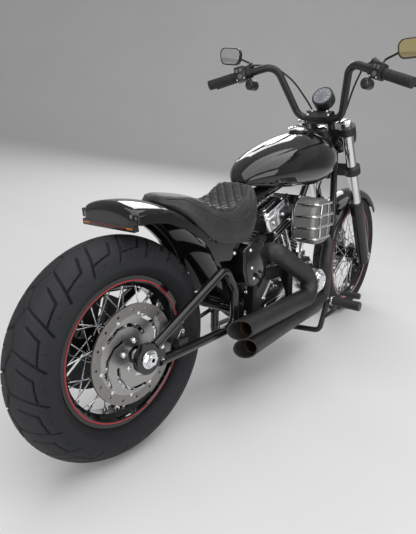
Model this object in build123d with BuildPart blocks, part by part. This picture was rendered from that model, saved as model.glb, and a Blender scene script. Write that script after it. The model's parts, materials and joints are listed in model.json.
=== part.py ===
"""Bobber motorcycle: air-cooled V-twin, spoked wheels, solo seat, high bars, two slash-cut pipes.

Units are millimetres. The machine is modelled upright: the origin is on the ground under the rear
axle, +X points forward, +Y to the rider's left and +Z up. At the end every piece takes the same
parked stance: the machine leans to the left on its side stand, and its box is centred on the origin.
"""
import os
from math import atan2, cos, degrees, hypot, radians, sin, sqrt, tan

from build123d import *

# Chassis
WHEELBASE = 1630.0
RAKE = 30.0
FORK_OFFSET = 30.0
FORK_HALF_SPACING = 107.0
LEAN = 7.5
RUNNING_GAP = 0.3
SHAFT_FIT = 0.05
WORKING_GAP = 6.0

# Rear wheel and tyre
REAR_TYRE_RADIUS = 324.0
REAR_CROWN_RADIUS = 81.0
REAR_TYRE_HALF_WIDTH = 80.0
REAR_BEAD_RADIUS = 203.0
REAR_RIM_HALF_WIDTH = 46.0

# Front wheel and tyre
FRONT_TYRE_RADIUS = 331.0
FRONT_CROWN_RADIUS = 55.0
FRONT_TYRE_HALF_WIDTH = 52.0
FRONT_BEAD_RADIUS = 241.0
FRONT_RIM_HALF_WIDTH = 41.0

# Wheel details that both wheels share
RIM_FLANGE_HEIGHT = 15.0
RIM_WALL = 5.0
TYRE_WALL = 9.0
SPOKE_RADIUS = 2.0
SPOKES_PER_SIDE = 20
SPOKE_TWIST = 62.0
REAR_FLANGE_RADIUS = 64.0
FRONT_FLANGE_RADIUS = 48.0
SPOKE_SEAT_GAP = 0.9
HUB_BARREL_RADIUS = 30.0

# Brakes and final drive
REAR_DISC_RADIUS = 146.0
REAR_DISC_Y = -67.0
FRONT_DISC_RADIUS = 150.0
FRONT_DISC_Y = 63.0
DISC_THICKNESS = 5.0
REAR_PULLEY_RADIUS = 140.0
FRONT_PULLEY_RADIUS = 60.0
FRONT_PULLEY_X = 640.0
BELT_Y = 95.5
BELT_WIDTH = 19.0
PULLEY_LIP = 1.0
BELT_THICKNESS = 5.0

# Axles
REAR_AXLE_RADIUS = 12.5
REAR_AXLE_BORE = 6.0
REAR_AXLE_RIGHT = 140.0
REAR_AXLE_LEFT = 153.0
SPACER_RADIUS = 18.0
FRONT_AXLE_RADIUS = 12.0
FRONT_AXLE_BORE = 8.0
FRONT_AXLE_END = 142.0

# Engine
CRANK_X = 860.0
CRANK_Z = 345.0
CYLINDER_ANGLE = 22.5
DECK_HEIGHT = 128.0
BARREL_HEIGHT = 112.0
BARREL_RADIUS = 56.0
FIN_HALF = 74.0
FIN_COUNT = 9
FIN_THICKNESS = 3.2
HEAD_HEIGHT = 46.0
CASE_HALF = 78.0

# Exhaust
PIPE_RADIUS = 36.0
PIPE_BORE = 31.5
HEADER_RADIUS = 27.0
SLASH_ANGLE = 34.0

# Steering assembly
STEM_RADIUS = 13.0
HEAD_TUBE_RADIUS = 30.0
HEAD_TUBE_LOW = 556.0
HEAD_TUBE_HIGH = 708.0
LOWER_CLAMP_LOW = 512.0
UPPER_CLAMP_LOW = 715.0
CLAMP_THICKNESS = 34.0
FORK_TUBE_RADIUS = 24.5
FORK_LEG_RADIUS = 33.0
FORK_LEG_LOW = -42.0
FORK_LEG_HIGH = 334.0
FORK_CAP_TOP = 768.0

# Handlebar
BAR_RADIUS = 16.0
BAR_GRIP_END = (1000.0, 455.0, 1126.0)
BAR_TOP_CORNER = (1085.0, 172.0, 1212.0)
BAR_LOW_CORNER = (1200.0, 104.0, 1010.0)
BAR_CENTRE = (1214.0, 0.0, 1008.0)
GRIP_RADIUS = 20.5
GRIP_LENGTH = 128.0
SPEEDO_CENTRE = (1226.0, 0.0, 1089.0)
SPEEDO_RADIUS = 49.0
SPEEDO_DEPTH = 44.0
SPEEDO_TILT = 35.0

# Frame tubes
BACKBONE_RADIUS = 28.0
CRADLE_RADIUS = 16.0
CRADLE_HALF_WIDTH = 98.0
RAIL_Z = 152.0
PIVOT_X = 486.0
PIVOT_Z = 340.0

# Swingarm
ARM_RADIUS = 15.0
ARM_RIGHT_Y = 116.5
ARM_LEFT_Y = 127.0
ARM_PLATE = 18.0

# Rear fender
FENDER_CENTRE = (33.0, REAR_TYRE_RADIUS + 18.0)
FENDER_GAP = 74.0
FENDER_RADIUS = REAR_TYRE_RADIUS + FENDER_GAP
FENDER_HALF_WIDTH = 100.0
FENDER_WALL = 4.0
FENDER_CROWN_DROP = 22.0
FENDER_FRONT_ANGLE = 6.0
FENDER_TAIL_ANGLE = 97.0

# Front fender
FRONT_FENDER_GAP = 21.0
FRONT_FENDER_RADIUS = FRONT_TYRE_RADIUS + FRONT_FENDER_GAP
FRONT_FENDER_HALF_WIDTH = 66.0
FRONT_FENDER_FROM = 42.0
FRONT_FENDER_TO = 158.0

# Side stand
STAND_PIVOT = (770.0, 142.0, 158.0)
STAND_FOOT_X = 868.0
STAND_FOOT_Y = 318.0
STAND_RADIUS = 11.0
STAND_FOOT_RADIUS = 24.0
STAND_FOOT_THICKNESS = 9.0

# Worked out from the driving dimensions
RAKE_SIN = sin(radians(RAKE))
RAKE_COS = cos(radians(RAKE))
STEER_X = WHEELBASE - FORK_OFFSET * RAKE_COS
STEER_Z = FRONT_TYRE_RADIUS - FORK_OFFSET * RAKE_SIN
AXLE_R = (0.0, REAR_TYRE_RADIUS)
AXLE_F = (WHEELBASE, FRONT_TYRE_RADIUS)
# Local X is ahead of the steering axis, local Y is to the left, local Z runs up the axis.
STEER = Plane(origin=(STEER_X, 0, STEER_Z), x_dir=(RAKE_COS, 0, RAKE_SIN), z_dir=(-RAKE_SIN, 0, RAKE_COS))

pieces = {}


def keep(builder, name):
    """Label a finished piece and remember it for the export."""
    builder.part.label = name
    pieces[name] = builder.part


def steer_point(ahead, left, up):
    """A point given ahead of, to the left of and up along the steering axis."""
    return tuple(STEER.from_local_coords(Vector(ahead, left, up)))


def flipped(point):
    """The same point on the machine's other side."""
    return (point[0], -point[1], point[2])


def bent_tube(points, bends, radius, bore=0.0):
    """A round bar or tube along straight runs joined by tangent bends."""
    with BuildPart() as tube:
        with BuildLine() as path:
            if len(points) == 2:
                Line(points[0], points[1])
            else:
                FilletPolyline(*points, radius=bends)
        with BuildSketch(Plane(origin=path.line @ 0, z_dir=path.line % 0)):
            Circle(radius)
            if bore:
                Circle(bore, mode=Mode.SUBTRACT)
        sweep(path=path.line)
    return tube.part


def bar(start, end, radius, bore=0.0):
    """A straight round bar between two points."""
    along = Vector(*end) - Vector(*start)
    with BuildPart() as rod:
        with BuildSketch(Plane(origin=start, z_dir=along)):
            Circle(radius)
            if bore:
                Circle(bore, mode=Mode.SUBTRACT)
        extrude(amount=along.length)
    return rod.part


def drum(x, z, y_from, y_to, radius, bore=0.0):
    """A round piece across the machine, about a centre in the side view."""
    return bar((x, y_from, z), (x, y_to, z), radius, bore)


def side_plate(outline, y_from, y_to, corner=0.0):
    """A plate cut to an outline in the side view (x, z), between two widths."""
    with BuildPart() as plate:
        with BuildSketch(Plane.XZ.offset(-y_from)) as face:
            with BuildLine():
                Polyline(*outline, close=True)
            make_face()
            if corner:
                fillet(face.vertices(), radius=corner)
        extrude(amount=-(y_to - y_from))
    return plate.part


def turned(profile, x, z):
    """A closed profile of (width, radius) points turned about an axle across the machine."""
    with BuildPart() as ring:
        with BuildSketch(Plane(origin=(x, 0, z), x_dir=(0, 1, 0), z_dir=(1, 0, 0))):
            with BuildLine():
                Polyline(*profile, close=True)
            make_face()
        revolve(axis=Axis((x, 0, z), (0, 1, 0)))
    return ring.part


def tyre(axle, radius, crown, half_width, bead, rim_half):
    """A tyre section of a round crown, two sidewalls and two beads, turned about its axle."""
    centre = radius - crown
    shoulder = centre + sqrt(crown ** 2 - half_width ** 2)
    inner_crown = crown - TYRE_WALL
    inner_half = half_width - TYRE_WALL
    inner_shoulder = centre + sqrt(inner_crown ** 2 - inner_half ** 2)
    bead_out = rim_half - RIM_WALL - RUNNING_GAP
    bead_in = bead_out - TYRE_WALL
    low = bead + RUNNING_GAP
    lip = bead + RIM_FLANGE_HEIGHT + 3.0
    side_mid = (lip + shoulder) / 2
    with BuildPart() as ring:
        with BuildSketch(Plane(origin=(axle[0], 0, axle[1]), x_dir=(0, 1, 0), z_dir=(1, 0, 0))):
            with BuildLine():
                ThreePointArc((half_width, shoulder), (0, radius), (-half_width, shoulder))
                ThreePointArc((-half_width, shoulder), (-half_width * 0.97, side_mid), (-rim_half, lip))
                Polyline(
                    (-rim_half, lip), (-bead_out, lip), (-bead_out, low), (-bead_in, low), (-bead_in, lip)
                )
                Line((-bead_in, lip), (-inner_half, inner_shoulder))
                ThreePointArc(
                    (-inner_half, inner_shoulder), (0, radius - TYRE_WALL), (inner_half, inner_shoulder)
                )
                Line((inner_half, inner_shoulder), (bead_in, lip))
                Polyline((bead_in, lip), (bead_in, low), (bead_out, low), (bead_out, lip), (rim_half, lip))
                ThreePointArc((rim_half, lip), (half_width * 0.97, side_mid), (half_width, shoulder))
            make_face()
        revolve(axis=Axis((axle[0], 0, axle[1]), (0, 1, 0)))
    return ring.part


def rim(axle, bead, half_width):
    """A drop-centre rim with a flange at each side."""
    flange = bead + RIM_FLANGE_HEIGHT
    seat = half_width - RIM_WALL
    well = bead - 13.0
    half = [
        (half_width, flange),
        (seat, flange),
        (seat, bead),
        (seat * 0.68, bead),
        (seat * 0.45, well),
    ]
    under = [
        (seat * 0.50, well - RIM_WALL),
        (seat * 0.74, bead - RIM_WALL),
        (half_width - 2.0, bead - RIM_WALL),
        (half_width, bead - RIM_WALL + 4.0),
    ]
    outer = half + [(-y, r) for y, r in reversed(half)]
    inner = [(-y, r) for y, r in reversed(under)] + under
    return turned(outer + inner, *axle)


def rim_inner_radius(bead):
    """Where the spokes meet the rim."""
    return bead - 13.0 - RIM_WALL


def wire_hub(axle, bead, flange, flange_y, end_left, end_right, axle_radius):
    """A hub with two flanges and its crossed spokes, forty in all."""
    bore = axle_radius + SHAFT_FIT
    x, z = axle
    with BuildPart() as hub:
        add(drum(x, z, end_right, end_left, HUB_BARREL_RADIUS, bore))
        for side in (-1, 1):
            add(drum(x, z, side * flange_y - 3.5, side * flange_y + 3.5, flange + 6, bore))
        reach = rim_inner_radius(bead) - SPOKE_SEAT_GAP
        for side in (-1, 1):
            for number in range(SPOKES_PER_SIDE):
                pair, lead = divmod(number, 2)
                hub_angle = 360.0 / SPOKES_PER_SIDE * 2 * pair + (9 if side > 0 else 0) + 6 * lead
                rim_angle = hub_angle + (SPOKE_TWIST if lead else -SPOKE_TWIST)
                hub_y = side * (flange_y + (4.5 if lead else -4.5))
                rim_y = side * (9.0 if lead else 5.0)
                start = (
                    x + flange * cos(radians(hub_angle)),
                    hub_y,
                    z + flange * sin(radians(hub_angle)),
                )
                end = (
                    x + reach * cos(radians(rim_angle)),
                    rim_y,
                    z + reach * sin(radians(rim_angle)),
                )
                add(bar(start, end, SPOKE_RADIUS))
    return hub.part


DISC_SPIRAL = [(0, 0.755), (22, 0.715), (44, 0.64), (66, 0.54), (86, 0.44)]
DISC_SLOT_WIDTH = 11.0


def brake_disc(axle, y, radius, bore):
    """A drilled disc with five slots that spiral inward, bolted to the hub."""
    x, z = axle
    face = Plane(origin=(x, y - DISC_THICKNESS / 2, z), x_dir=(1, 0, 0), z_dir=(0, 1, 0))
    with BuildPart() as disc:
        with BuildSketch(face):
            Circle(radius)
            Circle(bore, mode=Mode.SUBTRACT)
            with PolarLocations(radius - 14.0, 16):
                Circle(4.0, mode=Mode.SUBTRACT)
            for turn in range(5):
                spiral = [Vector(radius * out, 0).rotate(Axis.Z, angle + 72 * turn) for angle, out in DISC_SPIRAL]
                for start, end in zip(spiral, spiral[1:]):
                    SlotCenterPoint((start + end) * 0.5, end, height=DISC_SLOT_WIDTH, mode=Mode.SUBTRACT)
        extrude(amount=DISC_THICKNESS)
    return disc.part


# Rear wheel
with BuildPart() as rear_tyre:
    add(
        tyre(
            AXLE_R, REAR_TYRE_RADIUS, REAR_CROWN_RADIUS, REAR_TYRE_HALF_WIDTH,
            REAR_BEAD_RADIUS, REAR_RIM_HALF_WIDTH,
        )
    )
keep(rear_tyre, "rear_tyre")

with BuildPart() as rear_rim:
    add(rim(AXLE_R, REAR_BEAD_RADIUS, REAR_RIM_HALF_WIDTH))
keep(rear_rim, "rear_rim")

rear_hub_right = REAR_DISC_Y + DISC_THICKNESS / 2 + RUNNING_GAP
rear_hub_left = BELT_Y - BELT_WIDTH / 2 - PULLEY_LIP - RUNNING_GAP
with BuildPart() as rear_hub:
    add(
        wire_hub(
            AXLE_R, REAR_BEAD_RADIUS, REAR_FLANGE_RADIUS, 40.0,
            rear_hub_left, rear_hub_right, REAR_AXLE_RADIUS,
        )
    )
keep(rear_hub, "rear_hub")

with BuildPart() as rear_disc:
    add(brake_disc(AXLE_R, REAR_DISC_Y, REAR_DISC_RADIUS, REAR_AXLE_RADIUS + 12.0))
keep(rear_disc, "rear_disc")

rear_pulley_y = (BELT_Y - BELT_WIDTH / 2 - PULLEY_LIP, BELT_Y + BELT_WIDTH / 2 + PULLEY_LIP)
with BuildPart() as rear_pulley:
    add(drum(*AXLE_R, rear_pulley_y[0], rear_pulley_y[1], REAR_PULLEY_RADIUS, REAR_AXLE_RADIUS + 12.0))
    with BuildSketch(Plane(origin=(0, rear_pulley_y[0], REAR_TYRE_RADIUS), x_dir=(1, 0, 0), z_dir=(0, 1, 0))):
        with PolarLocations((REAR_PULLEY_RADIUS + 40) / 2, 5):
            SlotCenterToCenter(REAR_PULLEY_RADIUS - 78.0, 26.0, rotation=0)
    extrude(amount=rear_pulley_y[1] - rear_pulley_y[0], mode=Mode.SUBTRACT)
keep(rear_pulley, "rear_pulley")

# Front wheel
with BuildPart() as front_tyre:
    add(
        tyre(
            AXLE_F, FRONT_TYRE_RADIUS, FRONT_CROWN_RADIUS, FRONT_TYRE_HALF_WIDTH,
            FRONT_BEAD_RADIUS, FRONT_RIM_HALF_WIDTH,
        )
    )
keep(front_tyre, "front_tyre")

with BuildPart() as front_rim:
    add(rim(AXLE_F, FRONT_BEAD_RADIUS, FRONT_RIM_HALF_WIDTH))
keep(front_rim, "front_rim")

FRONT_HUB_RIGHT = -62.0
front_hub_left = FRONT_DISC_Y - DISC_THICKNESS / 2 - RUNNING_GAP
with BuildPart() as front_hub:
    add(
        wire_hub(
            AXLE_F, FRONT_BEAD_RADIUS, FRONT_FLANGE_RADIUS, 34.0,
            front_hub_left, FRONT_HUB_RIGHT, FRONT_AXLE_RADIUS,
        )
    )
keep(front_hub, "front_hub")

with BuildPart() as front_disc:
    add(brake_disc(AXLE_F, FRONT_DISC_Y, FRONT_DISC_RADIUS, FRONT_AXLE_RADIUS + 12.0))
keep(front_disc, "front_disc")

# Rear axle: a hollow shaft with a nut at each end outside the arm plates, and a spacer to each plate
with BuildPart() as rear_axle:
    add(drum(*AXLE_R, -REAR_AXLE_RIGHT, REAR_AXLE_LEFT, REAR_AXLE_RADIUS))
    for side, arm_y in ((-1, ARM_RIGHT_Y), (1, ARM_LEFT_Y)):
        nut_from = side * (arm_y + ARM_PLATE / 2 + RUNNING_GAP)
        with BuildSketch(Plane(origin=(0, nut_from, REAR_TYRE_RADIUS), x_dir=(1, 0, 0), z_dir=(0, side, 0))):
            RegularPolygon(20.0, 6)
        extrude(amount=12.0)
    arm_face = -ARM_RIGHT_Y + ARM_PLATE / 2 + RUNNING_GAP
    add(drum(*AXLE_R, arm_face, rear_hub_right - RUNNING_GAP, SPACER_RADIUS))
    arm_face = ARM_LEFT_Y - ARM_PLATE / 2 - RUNNING_GAP
    add(drum(*AXLE_R, rear_pulley_y[1] + RUNNING_GAP, arm_face, SPACER_RADIUS))
    add(drum(*AXLE_R, -REAR_AXLE_RIGHT - 1, REAR_AXLE_LEFT + 1, REAR_AXLE_BORE), mode=Mode.SUBTRACT)
keep(rear_axle, "rear_axle")

# Final drive belt: a loop round the two pulleys on the left
belt_inner_rear = REAR_PULLEY_RADIUS + RUNNING_GAP
belt_inner_front = FRONT_PULLEY_RADIUS + RUNNING_GAP
belt_plane = Plane(origin=(0, BELT_Y - BELT_WIDTH / 2, 0), x_dir=(1, 0, 0), z_dir=(0, 1, 0))
with BuildPart() as drive_belt:
    with BuildSketch(belt_plane):
        with BuildSketch(mode=Mode.PRIVATE) as belt_outside:
            with Locations((0, -REAR_TYRE_RADIUS)):
                Circle(belt_inner_rear + BELT_THICKNESS)
            with Locations((FRONT_PULLEY_X, -CRANK_Z)):
                Circle(belt_inner_front + BELT_THICKNESS)
            make_hull()
        with BuildSketch(mode=Mode.PRIVATE) as belt_inside:
            with Locations((0, -REAR_TYRE_RADIUS)):
                Circle(belt_inner_rear)
            with Locations((FRONT_PULLEY_X, -CRANK_Z)):
                Circle(belt_inner_front)
            make_hull()
        add(belt_outside.sketch)
        add(belt_inside.sketch, mode=Mode.SUBTRACT)
    extrude(amount=BELT_WIDTH)
keep(drive_belt, "drive_belt")

# Swingarm: on each side an axle plate and a loop of tube, joined ahead by a cross bar and the pivot tube
ARM_LOOP = [(44.0, 298.0), (410.0, 290.0), (404.0, 424.0), (352.0, 508.0), (30.0, 352.0)]
ARM_BENDS = [44.0, 60.0, 34.0]
PIVOT_TUBE_RADIUS = 27.0
PIVOT_PLATE_IN = 56.0
PIVOT_PLATE = 14.0
BRIDGE_X = 438.0
BRIDGE_RADIUS = 13.0


def swingarm_half(side):
    """One side of the swingarm: side is -1 on the right and 1 on the left."""
    y = -ARM_RIGHT_Y if side < 0 else ARM_LEFT_Y
    loop = [(px, y, pz) for px, pz in ARM_LOOP]
    plate_y = sorted((y - ARM_PLATE / 2, y + ARM_PLATE / 2))
    middle = side * RUNNING_GAP / 2
    inner = side * (PIVOT_PLATE_IN - RUNNING_GAP)
    with BuildPart() as arm:
        add(bent_tube(loop, ARM_BENDS, ARM_RADIUS))
        add(drum(*AXLE_R, plate_y[0], plate_y[1], 44.0))
        add(side_plate([(0, 294), (62, 285), (62, 365), (0, 352)], plate_y[0] + 1, plate_y[1] - 1, 6.0))
        add(side_plate([(402, 296), (452, 322), (452, 352), (402, 392)], plate_y[0], plate_y[1], 6.0))
        add(drum(BRIDGE_X, PIVOT_Z - 4, *sorted((middle, y)), BRIDGE_RADIUS))
        add(side_plate([(436, 324), (474, 320), (474, 360), (436, 348)], *sorted((side * 24.0, inner))))
        add(drum(PIVOT_X - 12, PIVOT_Z, *sorted((middle, inner)), PIVOT_TUBE_RADIUS))
        add(
            drum(*AXLE_R, plate_y[0] - 3, plate_y[1] + 3, REAR_AXLE_RADIUS + RUNNING_GAP),
            mode=Mode.SUBTRACT,
        )
    return arm.part


with BuildPart() as swingarm_right:
    add(swingarm_half(-1))
keep(swingarm_right, "swingarm_right")

with BuildPart() as swingarm_left:
    add(swingarm_half(1))
keep(swingarm_left, "swingarm_left")

# Rear caliper: straddles the disc ahead of the axle, on a lug of the arm's lower tube
caliper_slot = DISC_THICKNESS / 2 + WORKING_GAP - 1.0
with BuildPart() as rear_caliper:
    add(
        side_plate(
            [(118, 318), (172, 316), (180, 336), (166, 372), (132, 382), (116, 352)],
            -96.0,
            REAR_DISC_Y + 20.0,
            9.0,
        )
    )
    add(side_plate([(132, 305), (172, 305), (172, 330), (132, 330)], -ARM_RIGHT_Y + 2.0, -88.0, 3.0))
    add(
        drum(*AXLE_R, REAR_DISC_Y - caliper_slot, REAR_DISC_Y + caliper_slot, REAR_DISC_RADIUS + WORKING_GAP),
        mode=Mode.SUBTRACT,
    )
    add(bar((44, -ARM_RIGHT_Y, 298), (410, -ARM_RIGHT_Y, 290), ARM_RADIUS + RUNNING_GAP), mode=Mode.SUBTRACT)
keep(rear_caliper, "rear_caliper")

# Frame backbone: the steering head, the main tube under the tank and the seat cross bar
BACKBONE_PATH = [steer_point(0, 0, 640.0), (1090.0, 0.0, 806.0), (640.0, 0.0, 690.0), (480.0, 0.0, 602.0)]
SEAT_BAR_Z = 600.0
SEAT_BAR_RADIUS = 18.0
SEAT_BAR_HALF = 109.0
POST_TOP_X = 480.0
with BuildPart() as frame_backbone:
    add(bar(steer_point(0, 0, HEAD_TUBE_LOW), steer_point(0, 0, HEAD_TUBE_HIGH), HEAD_TUBE_RADIUS))
    add(bent_tube(BACKBONE_PATH, [160.0, 160.0], BACKBONE_RADIUS))
    add(side_plate([(1302, 812), (1262, 868), (1120, 800), (1180, 770)], -7.0, 7.0, 6.0))
    add(drum(POST_TOP_X, SEAT_BAR_Z, -SEAT_BAR_HALF, SEAT_BAR_HALF, SEAT_BAR_RADIUS))
    bore_ends = steer_point(0, 0, HEAD_TUBE_LOW - 5), steer_point(0, 0, HEAD_TUBE_HIGH + 5)
    add(bar(*bore_ends, STEM_RADIUS + SHAFT_FIT), mode=Mode.SUBTRACT)
keep(frame_backbone, "frame_backbone")

# Frame cradle: on each side a down tube, the lower rail, the rear post and the pivot plate
POST_X = 536.0
POST_Y = 66.0
RAIL_TURN_X = 640.0


def cradle_half(side):
    """One side of the engine cradle: side is -1 on the right and 1 on the left."""
    y = side * CRADLE_HALF_WIDTH
    head_side = side * (HEAD_TUBE_RADIUS + CRADLE_RADIUS + RUNNING_GAP)
    path = [
        steer_point(0, head_side, HEAD_TUBE_LOW + 74),
        (1204.0, y, 560.0),
        (1172.0, y, RAIL_Z),
        (RAIL_TURN_X, y, RAIL_Z),
        (POST_X, side * POST_Y, RAIL_Z),
        (POST_X, side * POST_Y, 430.0),
        (POST_TOP_X, side * POST_Y, SEAT_BAR_Z - SEAT_BAR_RADIUS - RUNNING_GAP - 2.0),
    ]
    plate = [(456, 312), (530, 292), (536, 410), (500, 410), (456, 370)]
    with BuildPart() as cradle:
        add(bent_tube(path, [110.0, 90.0, 120.0, 60.0, 90.0], CRADLE_RADIUS))
        add(side_plate(plate, *sorted((side * PIVOT_PLATE_IN, side * (PIVOT_PLATE_IN + PIVOT_PLATE))), 8.0))
    return cradle.part


with BuildPart() as frame_cradle_right:
    add(cradle_half(-1))
keep(frame_cradle_right, "frame_cradle_right")

# Side stand geometry: the leg's two directions give the hinge axis and the angle it folds through
STAND_FOLDED = (-0.985, 0.12, 0.12)
LEAN_TAN = tan(radians(LEAN))
stand_up = Vector(0, -sin(radians(LEAN)), cos(radians(LEAN)))
lift = REAR_CROWN_RADIUS * (1 - cos(radians(LEAN)))
stand_pivot = Vector(*STAND_PIVOT)
stand_sole = Vector(STAND_FOOT_X, STAND_FOOT_Y, STAND_FOOT_Y * LEAN_TAN - lift / cos(radians(LEAN)))
stand_ankle = stand_sole + stand_up * STAND_FOOT_THICKNESS
stand_down = (stand_ankle - stand_pivot).normalized()
stand_axis = stand_down.cross(Vector(*STAND_FOLDED)).normalized()
stand_fold = stand_down.get_angle(Vector(*STAND_FOLDED))
EYE_HALF = 12.0
EYE_RADIUS = 15.0
PIN_RADIUS = 6.0

with BuildPart() as frame_cradle_left:
    add(cradle_half(1))
    lug = stand_pivot - stand_axis * (EYE_HALF + RUNNING_GAP + 5.0)
    pin_root = tuple(stand_pivot - stand_axis * (EYE_HALF + 10.0))
    add(bar(pin_root, tuple(stand_pivot + stand_axis * EYE_HALF), PIN_RADIUS))
    add(bar(tuple(lug - stand_axis * 5.0), tuple(lug + stand_axis * 5.0), EYE_RADIUS))
    add(bar(tuple(lug - stand_axis * 4.5), (STAND_PIVOT[0], CRADLE_HALF_WIDTH, RAIL_Z), 8.0))
keep(frame_cradle_left, "frame_cradle_left")

# Engine: crankcase, cam chest and gearbox in one block, with the gearbox output pulley on the left
CHEST_RIGHT = -112.0
GEARBOX_LEFT = 56.0
GEARBOX_RIGHT = -92.0
CHEST_TOP = 440.0
DECK_TAN = tan(radians(CYLINDER_ANGLE))
deck_peak_z = CRANK_Z + DECK_HEIGHT / cos(radians(CYLINDER_ANGLE))
DECK_EDGE = 104.0
deck_edge_z = deck_peak_z - DECK_EDGE * DECK_TAN
case_outline = [
    (CRANK_X, deck_peak_z),
    (CRANK_X + DECK_EDGE, deck_edge_z),
    (1000, 350),
    (1000, 262),
    (962, 208),
    (740, 208),
    (700, 262),
    (700, 420),
    (CRANK_X - DECK_EDGE, deck_edge_z),
]
chest_outline = [
    (784, CHEST_TOP),
    (962, CHEST_TOP),
    (1000, 380),
    (1000, 270),
    (950, 232),
    (850, 232),
    (790, 290),
]
gearbox_outline = [(772, 250), (772, 440), (592, 440), (560, 412), (556, 270), (604, 232), (760, 232)]
with BuildPart() as crankcase:
    add(side_plate(case_outline, -CASE_HALF, CASE_HALF))
    add(side_plate(chest_outline, CHEST_RIGHT, 0.0, 16.0))
    add(side_plate(gearbox_outline, GEARBOX_RIGHT, GEARBOX_LEFT, 4.0))
    add(drum(FRONT_PULLEY_X, CRANK_Z, GEARBOX_LEFT - 10, BELT_Y, 30.0))
    add(drum(FRONT_PULLEY_X, CRANK_Z, BELT_Y - BELT_WIDTH / 2, BELT_Y + BELT_WIDTH / 2, FRONT_PULLEY_RADIUS))
keep(crankcase, "crankcase")

with BuildPart() as gearbox_cover:
    outline = [(578, 262), (770, 262), (765, 330), (724, 398), (648, 404), (596, 345)]
    add(side_plate(outline, GEARBOX_RIGHT - 22.0, GEARBOX_RIGHT - RUNNING_GAP, 7.0))
    chamfer(gearbox_cover.faces().sort_by(Axis.Y)[0].edges(), length=5.0)
keep(gearbox_cover, "gearbox_cover")

# Primary drive cover on the left: one long rounded housing over the crank and the clutch
PRIMARY_IN = BELT_Y + BELT_WIDTH / 2 + 3.0
PRIMARY_DEPTH = 50.0
with BuildPart() as primary_cover:
    with BuildSketch(Plane(origin=(0, PRIMARY_IN, 0), x_dir=(1, 0, 0), z_dir=(0, 1, 0))):
        with Locations((CRANK_X + 14, -CRANK_Z)):
            Circle(96.0)
        with Locations((650.0, -CRANK_Z + 8)):
            Circle(104.0)
        make_hull()
    extrude(amount=PRIMARY_DEPTH)
    fillet(primary_cover.faces().sort_by(Axis.Y)[-1].edges(), radius=20.0)
    add(drum(CRANK_X, CRANK_Z, CASE_HALF + RUNNING_GAP, PRIMARY_IN + 2.0, 84.0))
keep(primary_cover, "primary_cover")


def cylinder_plane(lean):
    """The plane at the crank whose normal runs up a cylinder: lean is -1 at the rear and 1 at the front."""
    angle = radians(CYLINDER_ANGLE) * lean
    up = (sin(angle), 0, cos(angle))
    return Plane(origin=(CRANK_X, 0, CRANK_Z), x_dir=(cos(angle), 0, -sin(angle)), z_dir=up)


FIN_HALF_DEPTH = 68.0
V_GAP = 1.5
HEAD_HALF = 76.0
HEAD_HALF_DEPTH = 88.0
head_low = DECK_HEIGHT + BARREL_HEIGHT
head_high = head_low + HEAD_HEIGHT


def finned_barrel(lean):
    """A barrel with its cooling fins and the finned head on it, kept to its own side of the V."""
    plane = cylinder_plane(lean)
    with BuildPart() as barrel:
        with BuildSketch(plane.offset(DECK_HEIGHT + RUNNING_GAP)):
            Circle(BARREL_RADIUS)
        extrude(amount=BARREL_HEIGHT)
        pitch = (BARREL_HEIGHT - FIN_THICKNESS) / FIN_COUNT
        for fin in range(FIN_COUNT):
            with BuildSketch(plane.offset(DECK_HEIGHT + pitch * (fin + 0.6))):
                RectangleRounded(2 * FIN_HALF, 2 * FIN_HALF_DEPTH, 26.0)
            extrude(amount=FIN_THICKNESS)
        with BuildSketch(plane.offset(head_low)):
            RectangleRounded(2 * HEAD_HALF - 12, 2 * HEAD_HALF_DEPTH - 12, 18.0)
        extrude(amount=HEAD_HEIGHT)
        for fin in range(3):
            with BuildSketch(plane.offset(head_low + 2 + 15.0 * fin)):
                RectangleRounded(2 * HEAD_HALF, 2 * HEAD_HALF_DEPTH, 18.0)
            extrude(amount=FIN_THICKNESS + 2)
        middle = Plane.YZ.offset(CRANK_X + lean * V_GAP)
        split(bisect_by=middle, keep=Keep.TOP if lean > 0 else Keep.BOTTOM)
    return barrel.part


with BuildPart() as cylinder_rear:
    add(finned_barrel(-1))
keep(cylinder_rear, "cylinder_rear")

with BuildPart() as cylinder_front:
    add(finned_barrel(1))
keep(cylinder_front, "cylinder_front")

ROCKER_TIERS = [
    ("half_length", "half_depth", "from", "height"),
    (92.0, 90.0, 0.0, 46.0),
    (78.0, 78.0, 46.0, 18.0),
]


def rocker_cover(lean):
    """A stepped rocker cover on a head, with rounded edges."""
    plane = cylinder_plane(lean)
    with BuildPart() as cover:
        for half_length, half_depth, start, height in ROCKER_TIERS[1:]:
            with BuildSketch(plane.offset(head_high + RUNNING_GAP + start)):
                RectangleRounded(2 * half_length, 2 * half_depth, 24.0)
            extrude(amount=height, taper=8.0)
        top = cover.faces().filter_by(GeomType.PLANE).sort_by(Axis(plane.origin, plane.z_dir))[-1]
        fillet(top.edges(), radius=8.0)
    return cover.part


with BuildPart() as rocker_cover_rear:
    add(rocker_cover(-1))
keep(rocker_cover_rear, "rocker_cover_rear")

with BuildPart() as rocker_cover_front:
    add(rocker_cover(1))
keep(rocker_cover_front, "rocker_cover_front")

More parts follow.
